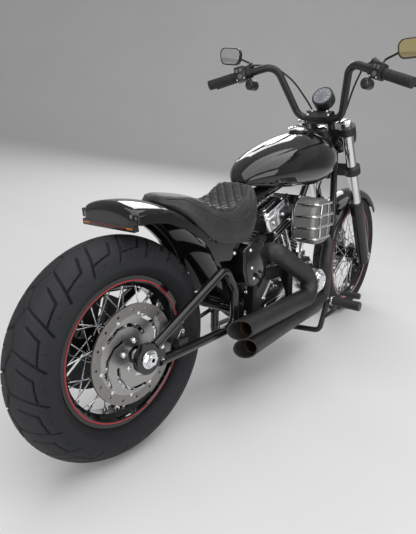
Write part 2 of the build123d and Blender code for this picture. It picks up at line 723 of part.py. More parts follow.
# Pushrod tubes: two to each head, from a lifter block on the cam chest
PUSHROD_Y = -81.0
PUSHROD_RADIUS = 8.0
LIFTER_HEIGHT = 30.0
LIFTER_DEPTH = 30.0
with BuildPart() as pushrod_tubes:
    for lean in (-1, 1):
        plane = cylinder_plane(lean)
        block_x = CRANK_X + lean * 42.0
        block_y = -CASE_HALF - RUNNING_GAP - LIFTER_DEPTH / 2
        for along in (-20.0, 20.0):
            low = (block_x + along * 0.8, block_y + 4, CHEST_TOP + LIFTER_HEIGHT - 3)
            high = tuple(plane.from_local_coords(Vector(along - lean * 8.0, PUSHROD_Y, head_low - 2.0)))
            add(bar(low, high, PUSHROD_RADIUS))
        with BuildSketch(Plane.XY.offset(CHEST_TOP + RUNNING_GAP)):
            with Locations((block_x, block_y)):
                RectangleRounded(58.0, LIFTER_DEPTH, 7.0)
        extrude(amount=LIFTER_HEIGHT)
keep(pushrod_tubes, "pushrod_tubes")

# Cam cover on the right: a flat cover and the stepped round cover over the ignition
CAM_X = 950.0
CAM_Z = 343.0
with BuildPart() as cam_cover:
    flat = [(800, 428), (955, 428), (990, 376), (990, 280), (944, 244), (862, 244), (804, 300)]
    add(side_plate(flat, CHEST_RIGHT - 12.0, CHEST_RIGHT - RUNNING_GAP, 18.0))
    steps = [("radius", "to"), (51.0, 150.0), (46.0, 160.0), (51.0, 170.0), (44.0, 178.0), (36.0, 186.0)]
    start = -CHEST_RIGHT + 8.0
    for radius, reach in steps[1:]:
        add(drum(CAM_X, CAM_Z, -reach, -start, radius))
        start = reach - 2.0
keep(cam_cover, "cam_cover")

# Air cleaner: a rounded filter on the intake, held by curved chrome bars
FILTER_X = 862.0
FILTER_Z = 610.0
FILTER_HALF_WIDTH = 84.0
FILTER_HALF_HEIGHT = 88.0
FILTER_CORNER = 62.0
FILTER_IN = -128.0
FILTER_OUT = -212.0
CLAW_RADIUS = 4.5
CLAW_LEVELS = (-66.0, -22.0, 22.0, 66.0)
INTAKE_Z = 646.0


def filter_half_width(level):
    """Half the filter's width at a height above its centre."""
    over = max(0.0, abs(level) - (FILTER_HALF_HEIGHT - FILTER_CORNER))
    return FILTER_HALF_WIDTH - FILTER_CORNER + sqrt(FILTER_CORNER ** 2 - over ** 2)


with BuildPart() as air_cleaner:
    with BuildSketch(Plane.XZ.offset(-FILTER_IN)):
        with Locations((FILTER_X, FILTER_Z)):
            RectangleRounded(2 * FILTER_HALF_WIDTH, 2 * FILTER_HALF_HEIGHT, FILTER_CORNER)
    extrude(amount=FILTER_IN - FILTER_OUT)
    fillet(air_cleaner.faces().sort_by(Axis.Y)[0].edges(), radius=18.0)
    for level in CLAW_LEVELS:
        half = filter_half_width(level) + CLAW_RADIUS * 0.6
        z = FILTER_Z + level
        out = FILTER_OUT - CLAW_RADIUS * 0.6
        claw = [
            (FILTER_X - half, FILTER_IN - 6, z),
            (FILTER_X - half, out, z + 6),
            (FILTER_X + half, out, z + 6),
            (FILTER_X + half, FILTER_IN - 6, z),
        ]
        add(bent_tube(claw, [22.0, 22.0], CLAW_RADIUS))
    add(drum(CRANK_X, INTAKE_Z, FILTER_IN - 4, 60.0, 21.0))
keep(air_cleaner, "air_cleaner")

# Exhaust: the rear cylinder's pipe above, the front cylinder's below, both cut on a slant at the end
EXHAUST_STUB = 22.0
PORT_HEIGHT = 17.0


def port_point(lean, out):
    """A point on the exhaust port's line, so far out from the head's face."""
    local = Vector(lean * (HEAD_HALF + RUNNING_GAP + out), -40.0, head_low + PORT_HEIGHT)
    return tuple(cylinder_plane(lean).from_local_coords(local))


def slash(tip):
    """The stock that a slanting cut takes off a pipe's end; the inner side stays longer."""
    with BuildPart() as stock:
        slash = radians(SLASH_ANGLE)
        with BuildSketch(Plane(origin=tip, z_dir=(-cos(slash), -sin(slash), 0))):
            Rectangle(300.0, 300.0)
        extrude(amount=200.0)
    return stock.part


UPPER_TIP = (352.0, -181.0, 309.0)
upper_path = [
    (640.0, -145.0, 512.0),
    (945.0, -197.0, 316.0),
    (UPPER_TIP[0] - 60, UPPER_TIP[1] + 2, UPPER_TIP[2]),
]
with BuildPart() as exhaust_upper:
    add(bent_tube(upper_path, [50.0], PIPE_RADIUS, PIPE_BORE))
    stub = [port_point(-1, 0.0), port_point(-1, 44.0), (608.0, -112.0, 512.0), (668.0, -148.0, 496.0)]
    add(bent_tube(stub, [24.0, 24.0], EXHAUST_STUB))
    add(slash(UPPER_TIP), mode=Mode.SUBTRACT)
keep(exhaust_upper, "exhaust_upper")

LOWER_TIP = (378.0, -187.0, 236.0)
lower_path = [(1004.0, -161.0, 244.0), (LOWER_TIP[0] - 60, LOWER_TIP[1] - 2, LOWER_TIP[2])]
with BuildPart() as exhaust_lower:
    add(bar(*lower_path, PIPE_RADIUS))
    header = [
        port_point(1, 0.0),
        port_point(1, 52.0),
        (1074.0, -150.0, 486.0),
        (1034.0, -158.0, 420.0),
        (1034.0, -160.0, 244.0),
        (950.0, -163.0, 243.4),
    ]
    add(bent_tube(header, [30.0, 30.0, 60.0, 40.0], HEADER_RADIUS))
    add(bar(lower_path[1], (900.0, -165.2, 242.8), PIPE_BORE), mode=Mode.SUBTRACT)
    add(slash(LOWER_TIP), mode=Mode.SUBTRACT)
keep(exhaust_lower, "exhaust_lower")

# Fuel tank: a teardrop body over the backbone, with a tunnel below
TANK_SECTIONS = [
    ("x", "half_width", "bottom", "top"),
    (580.0, 30.0, 748.0, 776.0),
    (650.0, 84.0, 744.0, 840.0),
    (770.0, 122.0, 738.0, 893.0),
    (930.0, 145.0, 738.0, 934.0),
    (1080.0, 144.0, 752.0, 946.0),
    (1160.0, 114.0, 784.0, 932.0),
    (1215.0, 62.0, 832.0, 901.0),
]


def tank_section(x, half_width, bottom, top):
    """One closed section of the tank: flat bottom, bulging sides and a crowned top."""
    height = top - bottom
    with BuildSketch(Plane.YZ.offset(x)) as section:
        with BuildLine():
            foot = (half_width * 0.62, bottom)
            belly = (half_width, bottom + height * 0.40)
            shoulder = (half_width * 0.66, bottom + height * 0.84)
            ThreePointArc(foot, belly, shoulder)
            ThreePointArc(shoulder, (0, top), (-shoulder[0], shoulder[1]))
            ThreePointArc((-shoulder[0], shoulder[1]), (-belly[0], belly[1]), (-foot[0], foot[1]))
            Line((-foot[0], foot[1]), foot)
        make_face()
    return section.sketch


with BuildPart() as fuel_tank:
    for row in TANK_SECTIONS[1:]:
        add(tank_section(*row))
    loft()
    tunnel = [(560, 640), (640, 726), (1090, 842), (1240, 892), (1240, 640)]
    add(side_plate(tunnel, -BACKBONE_RADIUS - 6, BACKBONE_RADIUS + 6), mode=Mode.SUBTRACT)
keep(fuel_tank, "fuel_tank")

CAP_X = 1000.0
with BuildPart() as fuel_cap:
    with BuildSketch(Plane.XY.offset(938.0)):
        with Locations((CAP_X, 0)):
            Circle(34.0)
    extrude(amount=16.0)
    fillet(fuel_cap.faces().sort_by(Axis.Z)[-1].edges(), radius=6.0)
    add(fuel_tank.part, mode=Mode.SUBTRACT)
keep(fuel_cap, "fuel_cap")


def end_edges(block, centre, angle, low):
    """The edges of an arch's end face at an angle, apart from its lower edge."""
    found = []
    for edge in block.edges():
        middle = edge @ 0.5
        out = hypot(middle.X - centre[0], middle.Z - centre[1])
        turn = degrees(atan2(middle.Z - centre[1], middle.X - centre[0]))
        if abs(turn - angle) < 0.5 and out > low + 1.0:
            found.append(edge)
    return found


def filled_arch(centre, radius, half_width, drop, low, corner, start, end, roll=0.0):
    """A solid under a fender's arch, turned about a centre in the side view between two angles."""
    angle = radians(start)
    plane = Plane(
        origin=(centre[0], 0, centre[1]),
        x_dir=(0, 1, 0),
        z_dir=(sin(angle), 0, -cos(angle)),
    )
    edge = radius - drop
    with BuildPart() as block:
        with BuildSketch(plane) as section:
            with BuildLine():
                ThreePointArc((-half_width, edge), (0, radius), (half_width, edge))
                Polyline((half_width, edge), (half_width, low), (-half_width, low), (-half_width, edge))
            make_face()
            fillet(section.vertices().sort_by(Axis.Y)[-2:], radius=corner)
        revolve(axis=Axis((centre[0], 0, centre[1]), (0, -1, 0)), revolution_arc=end - start)
        if roll:
            fillet(end_edges(block.part, centre, end, low), radius=roll)
    return block.part


# Rear fender: a crowned shell with a rolled tail
FENDER_SKIRT_DEPTH = 53.0
FENDER_LOW = FENDER_RADIUS - FENDER_SKIRT_DEPTH
FENDER_CORNER = 30.0
TAIL_ROLL = 24.0
wall_angle = degrees(FENDER_WALL / FENDER_RADIUS)
fender_turn = (FENDER_FRONT_ANGLE, FENDER_TAIL_ANGLE)
with BuildPart() as rear_fender:
    add(
        filled_arch(
            FENDER_CENTRE, FENDER_RADIUS, FENDER_HALF_WIDTH, FENDER_CROWN_DROP, FENDER_LOW,
            FENDER_CORNER, *fender_turn, TAIL_ROLL,
        )
    )
    add(
        filled_arch(
            FENDER_CENTRE, FENDER_RADIUS - FENDER_WALL, FENDER_HALF_WIDTH - FENDER_WALL, FENDER_CROWN_DROP,
            FENDER_LOW - 20.0, FENDER_CORNER - FENDER_WALL,
            fender_turn[0] - 5.0, fender_turn[1] - wall_angle, TAIL_ROLL - FENDER_WALL,
        ),
        mode=Mode.SUBTRACT,
    )
    belt_notch = [(340, 360), (460, 360), (460, 444), (340, 458)]
    add(side_plate(belt_notch, 76.0, FENDER_HALF_WIDTH + 5.0), mode=Mode.SUBTRACT)
keep(rear_fender, "rear_fender")

# Tail light: a bar under the rolled tail
LIGHT_HEIGHT = 17.0
with BuildPart() as tail_light:
    add(
        filled_arch(
            FENDER_CENTRE, FENDER_LOW - RUNNING_GAP, FENDER_HALF_WIDTH - FENDER_WALL, 0.4,
            FENDER_LOW - LIGHT_HEIGHT, 4.0, FENDER_TAIL_ANGLE - 2.8, FENDER_TAIL_ANGLE,
        )
    )
keep(tail_light, "tail_light")

# Fender struts: a curved bar beside each skirt, with a forged plate ahead to the seat cross bar
STRUT_WIDTH = 8.0
STRUT_DEPTH = 23.0
STRUT_HIGH = FENDER_LOW + STRUT_DEPTH
STRUT_END_ANGLE = 42.0
JUNCTION = [(276, 592), (312, 534), (392, 526), (430, 556), (461, 592), (461, 610), (300, 610)]


def fender_strut(side):
    """One strut: side is -1 on the right and 1 on the left."""
    near = side * (FENDER_HALF_WIDTH + RUNNING_GAP)
    far = side * (FENDER_HALF_WIDTH + RUNNING_GAP + STRUT_WIDTH)
    start = radians(STRUT_END_ANGLE)
    plane = Plane(
        origin=(FENDER_CENTRE[0], 0, FENDER_CENTRE[1]),
        x_dir=(0, 1, 0),
        z_dir=(sin(start), 0, -cos(start)),
    )
    with BuildPart() as strut:
        with BuildSketch(plane):
            with BuildLine():
                Polyline(
                    (near, FENDER_LOW), (near, STRUT_HIGH), (far, STRUT_HIGH), (far, FENDER_LOW), close=True
                )
            make_face()
        revolve(
            axis=Axis((FENDER_CENTRE[0], 0, FENDER_CENTRE[1]), (0, -1, 0)),
            revolution_arc=FENDER_TAIL_ANGLE - 2.0 - STRUT_END_ANGLE,
        )
        add(side_plate(JUNCTION, *sorted((near, far)), 8.0))
    return strut.part


with BuildPart() as fender_struts:
    add(fender_strut(-1))
    add(fender_strut(1))
keep(fender_struts, "fender_struts")

# Seat: a leather solo saddle with a raised rear lip, hollow below over the fender and the frame
SEAT_SECTIONS = [
    ("x", "half_width", "edge", "side_top", "centre_top"),
    (156.0, 34.0, 716.0, 728.0, 732.0),
    (192.0, 80.0, 692.0, 741.0, 746.0),
    (242.0, 106.0, 642.0, 738.0, 742.0),
    (300.0, 120.0, 602.0, 717.0, 722.0),
    (380.0, 126.0, 582.0, 696.0, 685.0),
    (470.0, 125.0, 579.0, 704.0, 694.0),
    (514.0, 120.0, 600.0, 722.0, 726.0),
    (564.0, 78.0, 730.0, 760.0, 771.0),
]
SEAT_CLEARANCE = 1.5
SEAT_HOLLOW_HALF = 111.0


def seat_section(x, half_width, edge, side_top, centre_top):
    """One closed section of the seat: flat bottom, bulging sides and a dished or crowned top."""
    with BuildSketch(Plane.YZ.offset(x)) as section:
        with BuildLine():
            foot = (half_width * 0.94, edge)
            bulge = (half_width, edge + (side_top - edge) * 0.45)
            side = (half_width * 0.74, side_top)
            ThreePointArc(foot, bulge, side)
            ThreePointArc(side, (0, centre_top), (-side[0], side[1]))
            ThreePointArc((-side[0], side[1]), (-bulge[0], bulge[1]), (-foot[0], foot[1]))
            Line((-foot[0], foot[1]), foot)
        make_face()
    return section.sketch


with BuildPart() as seat:
    for row in SEAT_SECTIONS[1:]:
        add(seat_section(*row))
    loft()
    add(
        filled_arch(
            FENDER_CENTRE, FENDER_RADIUS + SEAT_CLEARANCE, FENDER_HALF_WIDTH + SEAT_CLEARANCE,
            FENDER_CROWN_DROP,
            150.0, FENDER_CORNER, -5.0, 105.0,
        ),
        mode=Mode.SUBTRACT,
    )
    add(drum(*FENDER_CENTRE, -SEAT_HOLLOW_HALF, SEAT_HOLLOW_HALF, STRUT_HIGH + 3.0), mode=Mode.SUBTRACT)
    seat_hollow = [(250, 500), (290, 613), (440, 634), (486, 646), (660, 742), (660, 500)]
    add(side_plate(seat_hollow, -SEAT_HOLLOW_HALF, SEAT_HOLLOW_HALF), mode=Mode.SUBTRACT)
keep(seat, "seat")

# Oil tank round the rear posts, and a cover outside it on each side
OIL_TANK = [(446, 434), (588, 450), (588, 566), (446, 566)]
OIL_TANK_HALF = 86.0
with BuildPart() as oil_tank:
    add(side_plate(OIL_TANK, -OIL_TANK_HALF, OIL_TANK_HALF, 10.0))
    for side in (-1, 1):
        post_y = side * POST_Y
        post = [(POST_X, post_y, 380.0), (POST_X, post_y, 430.0), (POST_TOP_X, post_y, 580.0)]
        add(bent_tube(post, [90.0], CRADLE_RADIUS + RUNNING_GAP), mode=Mode.SUBTRACT)
keep(oil_tank, "oil_tank")

COVER_RIGHT = [(434, 556), (470, 570), (548, 570), (586, 524), (578, 442), (534, 398), (452, 430), (434, 480)]
COVER_LEFT = [(434, 556), (470, 570), (548, 570), (590, 524), (586, 446), (440, 446)]
COVER_OUT = 134.0
with BuildPart() as side_covers:
    cover_in = OIL_TANK_HALF + RUNNING_GAP
    add(side_plate(COVER_RIGHT, -COVER_OUT, -cover_in, 10.0))
    add(side_plate(COVER_LEFT, cover_in, COVER_OUT, 10.0))
    outer = side_covers.faces().filter_by(Axis.Y).sort_by(Axis.Y)
    fillet(outer[0].edges() + outer[-1].edges(), radius=7.0)
keep(side_covers, "side_covers")

# Foot controls: on each side a bracket out from the lower rail, a peg and a pedal
PEG_X = 850.0
PEG_Z = 303.0
PEG_RADIUS = 17.0
PEG_FROM = 285.0
PEG_TO = 402.0


def foot_control(side):
    """One side's peg, bracket and pedal: side is -1 on the right and 1 on the left."""
    rail = side * (CRADLE_HALF_WIDTH + CRADLE_RADIUS + RUNNING_GAP)
    bracket = [
        (PEG_X, rail, RAIL_Z),
        (PEG_X, side * 236.0, RAIL_Z + 12),
        (PEG_X, side * 262.0, PEG_Z - 6),
        (PEG_X, side * 290.0, PEG_Z),
    ]
    pedal = [
        (PEG_X, side * 258.0, 232.0),
        (PEG_X + 70, side * 262.0, 236.0),
        (PEG_X + 122, side * 268.0, 300.0),
        (PEG_X + 124, side * 322.0, 302.0),
    ]
    with BuildPart() as control:
        add(bent_tube(bracket, [30.0, 14.0], 11.0))
        add(bar((PEG_X, side * PEG_FROM, PEG_Z), (PEG_X, side * PEG_TO, PEG_Z), PEG_RADIUS))
        add(bent_tube(pedal, [26.0, 12.0], 8.0))
        add(bar((PEG_X + 124, side * 296.0, 301.7), (PEG_X + 124, side * 352.0, 303.5), 12.0))
    return control.part


with BuildPart() as foot_controls:
    add(foot_control(-1))
    add(foot_control(1))
keep(foot_controls, "foot_controls")

# Steering: two clamps, the stem, the tubes and the lower legs with their axle
CLAMP_ARM = FORK_LEG_RADIUS + 7.0
STEM_CLAMP_RADIUS = 36.0


def clamp_plate(low, thickness, bore, stem_bore):
    """A triple clamp: two eyes for the fork tubes and one for the stem, joined by a web."""
    with BuildPart() as clamp:
        with BuildSketch(STEER.offset(low)):
            with Locations((FORK_OFFSET, FORK_HALF_SPACING), (FORK_OFFSET, -FORK_HALF_SPACING)):
                Circle(CLAMP_ARM)
            Circle(STEM_CLAMP_RADIUS)
            with Locations((FORK_OFFSET - 4, 0)):
                RectangleRounded(52.0, 2 * FORK_HALF_SPACING, 20.0)
            with Locations((FORK_OFFSET, FORK_HALF_SPACING), (FORK_OFFSET, -FORK_HALF_SPACING)):
                Circle(bore, mode=Mode.SUBTRACT)
            if stem_bore:
                Circle(stem_bore, mode=Mode.SUBTRACT)
        extrude(amount=thickness)
    return clamp.part


tube_bore = FORK_TUBE_RADIUS + 0.1
with BuildPart() as lower_clamp:
    add(clamp_plate(LOWER_CLAMP_LOW, CLAMP_THICKNESS, tube_bore, 0))
    add(bar(steer_point(0, 0, LOWER_CLAMP_LOW + 4), steer_point(0, 0, UPPER_CLAMP_LOW + 20), STEM_RADIUS))
keep(lower_clamp, "lower_clamp")

with BuildPart() as upper_clamp:
    add(clamp_plate(UPPER_CLAMP_LOW, CLAMP_THICKNESS, tube_bore, STEM_RADIUS + 0.1))
keep(upper_clamp, "upper_clamp")

with BuildPart() as fork_tubes:
    for side in (-1, 1):
        y = side * FORK_HALF_SPACING
        foot = steer_point(FORK_OFFSET, y, FORK_LEG_HIGH - 60)
        add(bar(foot, steer_point(FORK_OFFSET, y, FORK_CAP_TOP), FORK_TUBE_RADIUS))
keep(fork_tubes, "fork_tubes")

with BuildPart() as fork_legs:
    for side in (-1, 1):
        y = side * FORK_HALF_SPACING
        low = steer_point(FORK_OFFSET, y, FORK_LEG_LOW)
        high = steer_point(FORK_OFFSET, y, FORK_LEG_HIGH)
        add(bar(low, high, FORK_LEG_RADIUS))
        fender_arm = bar(
            steer_point(FORK_OFFSET, side * (FRONT_FENDER_HALF_WIDTH + RUNNING_GAP), 316.0),
            steer_point(FORK_OFFSET, side * FORK_HALF_SPACING, 316.0),
            15.0,
        )
        add(fender_arm)
    for side in (-1, 1):
        y = side * FORK_HALF_SPACING
        seat_low = steer_point(FORK_OFFSET, y, FORK_LEG_HIGH - 60 - RUNNING_GAP)
        seat_high = steer_point(FORK_OFFSET, y, FORK_LEG_HIGH + 1)
        add(bar(seat_low, seat_high, FORK_TUBE_RADIUS + 0.1), mode=Mode.SUBTRACT)
    add(drum(*AXLE_F, -FRONT_AXLE_END - 1, FRONT_AXLE_END + 1, FRONT_AXLE_RADIUS + 0.1), mode=Mode.SUBTRACT)
keep(fork_legs, "fork_legs")

with BuildPart() as front_axle:
    add(drum(*AXLE_F, -FRONT_AXLE_END, FRONT_AXLE_END, FRONT_AXLE_RADIUS))
    leg_inner = FORK_HALF_SPACING - FORK_LEG_RADIUS - RUNNING_GAP
    add(drum(*AXLE_F, front_hub_left + RUNNING_GAP, leg_inner, SPACER_RADIUS))
    add(drum(*AXLE_F, -leg_inner, FRONT_HUB_RIGHT - RUNNING_GAP, SPACER_RADIUS))
    for side in (-1, 1):
        nut = side * (FORK_HALF_SPACING + FORK_LEG_RADIUS + RUNNING_GAP)
        nut_plane = Plane(origin=(WHEELBASE, nut, FRONT_TYRE_RADIUS), x_dir=(1, 0, 0), z_dir=(0, side, 0))
        with BuildSketch(nut_plane):
            RegularPolygon(17.0, 6)
        extrude(amount=FRONT_AXLE_END - FORK_HALF_SPACING - FORK_LEG_RADIUS - RUNNING_GAP)
    add(drum(*AXLE_F, -FRONT_AXLE_END - 1, FRONT_AXLE_END + 1, FRONT_AXLE_BORE), mode=Mode.SUBTRACT)
keep(front_axle, "front_axle")

# Front fender: a short crowned shell with a skirt to each fork leg
FRONT_FENDER_DROP = 22.0
with BuildPart() as front_fender:
    add(
        filled_arch(
            AXLE_F, FRONT_FENDER_RADIUS, FRONT_FENDER_HALF_WIDTH, FRONT_FENDER_DROP, 302.0,
            26.0, FRONT_FENDER_FROM, FRONT_FENDER_TO,
        )
    )
    add(
        filled_arch(
            AXLE_F, FRONT_FENDER_RADIUS - FENDER_WALL, FRONT_FENDER_HALF_WIDTH - FENDER_WALL,
            FRONT_FENDER_DROP, 280.0,
            22.0, FRONT_FENDER_FROM - 8, FRONT_FENDER_TO + 8,
        ),
        mode=Mode.SUBTRACT,
    )
keep(front_fender, "front_fender")

# Front caliper: behind the left leg, over the disc
CALIPER_LOCAL = [
    (-128.0, 34.0), (-70.0, 26.0), (-52.0, 60.0), (-52.0, 128.0), (-84.0, 140.0), (-124.0, 110.0),
]
front_slot = DISC_THICKNESS / 2 + WORKING_GAP - 1.0
with BuildPart() as front_caliper:
    with BuildSketch(Plane(origin=steer_point(0, 44.0, 0), x_dir=STEER.x_dir, z_dir=(0, 1, 0))):
        with BuildLine():
            Polyline(*[(ahead, -up) for ahead, up in CALIPER_LOCAL], close=True)
        make_face()
    extrude(amount=48.0)
    add(
        drum(*AXLE_F, FRONT_DISC_Y - front_slot, FRONT_DISC_Y + front_slot, FRONT_DISC_RADIUS + WORKING_GAP),
        mode=Mode.SUBTRACT,
    )
    for up in (50.0, 118.0):
        add(bar(steer_point(-62, 84.0, up), steer_point(-6, 96.0, up), 9.0))
    add(
        bar(
            steer_point(FORK_OFFSET, FORK_HALF_SPACING, -60),
            steer_point(FORK_OFFSET, FORK_HALF_SPACING, 400),
            FORK_LEG_RADIUS + RUNNING_GAP,
        ),
        mode=Mode.SUBTRACT,
    )
keep(front_caliper, "front_caliper")

# Handlebar with its clamp, and the instrument above it
half_path = [BAR_GRIP_END, BAR_TOP_CORNER, BAR_LOW_CORNER, BAR_CENTRE]
BAR_BENDS = [58.0, 54.0]


def bar_solid(radius):
    """The whole handlebar as a round bar of this radius."""
    with BuildPart() as solid:
        add(bent_tube(half_path, BAR_BENDS, radius))
        add(bent_tube([flipped(point) for point in half_path], BAR_BENDS, radius))
    return solid.part


with BuildPart() as handlebar:
    add(bar_solid(BAR_RADIUS))
keep(handlebar, "handlebar")

bar_room = bar_solid(BAR_RADIUS + 0.1)
CLAMP_HALF = 62.0
CLAMP_RADIUS = 24.0
RISER_Y = 44.0
speedo_normal = Vector(-cos(radians(SPEEDO_TILT)), 0, sin(radians(SPEEDO_TILT)))
speedo_up = Vector(sin(radians(SPEEDO_TILT)), 0, cos(radians(SPEEDO_TILT)))
with BuildPart() as bar_clamp:
    add(drum(BAR_CENTRE[0], BAR_CENTRE[2], -CLAMP_HALF, CLAMP_HALF, CLAMP_RADIUS))
    for side in (-1, 1):
        foot = steer_point(8.0, side * RISER_Y, UPPER_CLAMP_LOW + CLAMP_THICKNESS + RUNNING_GAP)
        add(bar(foot, steer_point(8.0, side * RISER_Y, UPPER_CLAMP_LOW + CLAMP_THICKNESS + 40.0), 15.0))
    with BuildSketch(Plane(origin=(1188, 0, 1022), x_dir=(0, 1, 0), z_dir=(-0.72, 0, 0.69))):
        with BuildLine():
            Polyline((-68, -18), (68, -18), (46, 21), (-46, 21), close=True)
        make_face()
    extrude(amount=6.0, both=True)
    back = Vector(*SPEEDO_CENTRE) - speedo_normal * (SPEEDO_DEPTH / 2 + RUNNING_GAP)
    plate_low = tuple(back - speedo_up * 22.0)
    with BuildSketch(Plane(origin=plate_low, x_dir=(0, 1, 0), z_dir=tuple(speedo_normal * -1))):
        RectangleRounded(56.0, 72.0, 10.0)
    extrude(amount=5.0)
    add(bar_room, mode=Mode.SUBTRACT)
keep(bar_clamp, "bar_clamp")

with BuildPart() as speedometer:
    rear_face = tuple(back + speedo_normal * RUNNING_GAP)
    with BuildSketch(Plane(origin=rear_face, x_dir=(0, 1, 0), z_dir=tuple(speedo_normal))):
        Circle(SPEEDO_RADIUS)
    extrude(amount=SPEEDO_DEPTH)
    fillet(speedometer.edges(), radius=5.0)
    add(bar_clamp.part, mode=Mode.SUBTRACT)
keep(speedometer, "speedometer")


def along_bar(side, distance, forward=0.0, up=0.0):
    """A point on a handlebar end, so far in from its tip, then forward and up from the bar."""
    tip = Vector(*BAR_GRIP_END)
    inward = (Vector(*BAR_TOP_CORNER) - tip).normalized()
    ahead = (Vector(1, 0, 0) - inward * inward.X).normalized()
    above = ahead.cross(inward).normalized()
    if above.Z < 0:
        above = above * -1
    point = tip + inward * distance + ahead * forward + above * up
    return (point.X, side * point.Y, point.Z)


with BuildPart() as grips:
    for side in (-1, 1):
        add(bar(along_bar(side, -6.0), along_bar(side, GRIP_LENGTH), GRIP_RADIUS))
    add(bar_room, mode=Mode.SUBTRACT)
keep(grips, "grips")

# Hand controls: a switch housing, a lever perch and its lever on each side
with BuildPart() as hand_controls:
    for side in (-1, 1):
        add(bar(along_bar(side, GRIP_LENGTH + 3), along_bar(side, GRIP_LENGTH + 46), 25.0))
        add(bar(along_bar(side, GRIP_LENGTH + 40), along_bar(side, GRIP_LENGTH + 72), 21.0))
        add(bar(along_bar(side, GRIP_LENGTH + 56), along_bar(side, GRIP_LENGTH + 50, 48.0, 2.0), 11.0))
        lever = [
            along_bar(side, GRIP_LENGTH + 52, 38.0, 2.0),
            along_bar(side, GRIP_LENGTH + 10, 62.0, 0.0),
            along_bar(side, 6.0, 60.0, -4.0),
        ]
        add(bent_tube(lever, [60.0], 6.0))
        tank_low = along_bar(side, GRIP_LENGTH + 42, 12.0, 18.0)
        add(bar(tank_low, along_bar(side, GRIP_LENGTH + 80, 12.0, 30.0), 15.0))
    add(bar_room, mode=Mode.SUBTRACT)
keep(hand_controls, "hand_controls")

MIRROR_CENTRE = (1088.0, 413.0, 1259.0)
MIRROR_DEPTH = 15.0
with BuildPart() as mirrors:
    for side in (-1, 1):
        centre = (MIRROR_CENTRE[0], side * MIRROR_CENTRE[1], MIRROR_CENTRE[2])
        with BuildSketch(Plane(origin=centre, x_dir=(0, 1, 0), z_dir=(1, 0, 0))) as glass:
            with BuildLine():
                Polyline(
                    (side * 62, 36), (side * 50, -36), (-side * 46, -42), (-side * 60, 26), close=True,
                )
            make_face()
            fillet(glass.vertices(), radius=26.0)
        extrude(amount=MIRROR_DEPTH)
        fillet(mirrors.faces().filter_by(Axis.X).sort_by(Axis.X)[-1].edges(), radius=6.0)
        stem_base = along_bar(side, GRIP_LENGTH + 54, 30.0, 4.0)
        stem = [
            stem_base,
            (1112.0, side * 306.0, 1222.0),
            (MIRROR_CENTRE[0] + 10, side * (MIRROR_CENTRE[1] - 30), MIRROR_CENTRE[2] - 8),
        ]
        add(bent_tube(stem, [14.0], 4.5))
    add(hand_controls.part, mode=Mode.SUBTRACT)
keep(mirrors, "mirrors")

# Front indicators: a round pod hung below each switch housing
with BuildPart() as front_indicators:
    for side in (-1, 1):
        pod = along_bar(side, GRIP_LENGTH + 60, -2.0, -52.0)
        add(bar((pod[0] - 20, pod[1], pod[2]), (pod[0] + 22, pod[1], pod[2]), 21.0))
        add(bar(pod, along_bar(side, GRIP_LENGTH + 58, 0.0, -20.0), 6.0))
    add(hand_controls.part, mode=Mode.SUBTRACT)
keep(front_indicators, "front_indicators")

# Headlight on an arm from the upper clamp
LAMP_X = 1408.0
LAMP_Z = 936.0
LAMP_RADIUS = 80.0
LAMP_PROFILE = [
    (-62, 0), (-58, 30), (-36, 62), (0, 78), (34, LAMP_RADIUS), (46, LAMP_RADIUS), (50, 72), (54, 0),
]
with BuildPart() as headlight:
    with BuildSketch(Plane.XZ):
        with BuildLine():
            Polyline(*[(LAMP_X + along, LAMP_Z + out) for along, out in LAMP_PROFILE], close=True)
        make_face()
    revolve(axis=Axis((LAMP_X, 0, LAMP_Z), (1, 0, 0)))
    web_front = FORK_OFFSET - 4 + 26 + RUNNING_GAP
    add(bar(steer_point(web_front, 0, UPPER_CLAMP_LOW + 17), (LAMP_X - 52, 0, LAMP_Z + 6), 11.0))
    add(upper_clamp.part, mode=Mode.SUBTRACT)
keep(headlight, "headlight")


def cable(points, radius):
    """A cable through hand-placed points, each bend as large as its two runs allow."""
    vectors = [Vector(*point) for point in points]
    bends = []
    for before, here, after in zip(vectors, vectors[1:], vectors[2:]):
        turn = (here - before).get_angle(after - here)
        shorter = min((here - before).length, (after - here).length)
        bends.append(0.45 * shorter / tan(radians(turn / 2)))
    return bent_tube(points, bends, radius)


CABLE_RADIUS = 4.0
with BuildPart() as brake_hose:
    brake_route = [
        along_bar(-1, GRIP_LENGTH + 80.3, 12.0, 30.0),
        (1128.0, -216.0, 1206.0),
        (1200.0, -150.0, 1140.0),
        (1290.0, -84.0, 1050.0),
        steer_point(68, -50, 740.0),
        steer_point(60, -42, 660.0),
        steer_point(58, 8, 600.0),
        steer_point(58, 50, 550.0),
        steer_point(58, 60, 480.0),
        steer_point(-6, 76, 420.0),
        steer_point(-16, 96, 350.0),
        steer_point(-22, 100, 270.0),
        steer_point(-56, 94, 195.0),
        steer_point(-88, 78, 142.0),
    ]
    add(cable(brake_route, CABLE_RADIUS))
    add(front_caliper.part, mode=Mode.SUBTRACT)
    add(hand_controls.part, mode=Mode.SUBTRACT)
keep(brake_hose, "brake_hose")

with BuildPart() as clutch_cable:
    clutch_route = [
        along_bar(1, GRIP_LENGTH + 80.3, 12.0, 30.0),
        (1122.0, 206.0, 1216.0),
        (1190.0, 140.0, 1165.0),
        (1262.0, 88.0, 1070.0),
        steer_point(80, 66, 760.0),
        steer_point(74, 46, 650.0),
        steer_point(40, 46, LOWER_CLAMP_LOW + CLAMP_THICKNESS + 44),
        steer_point(40, 46, LOWER_CLAMP_LOW + CLAMP_THICKNESS + RUNNING_GAP),
    ]
    add(cable(clutch_route, CABLE_RADIUS))
    add(hand_controls.part, mode=Mode.SUBTRACT)
keep(clutch_cable, "clutch_cable")

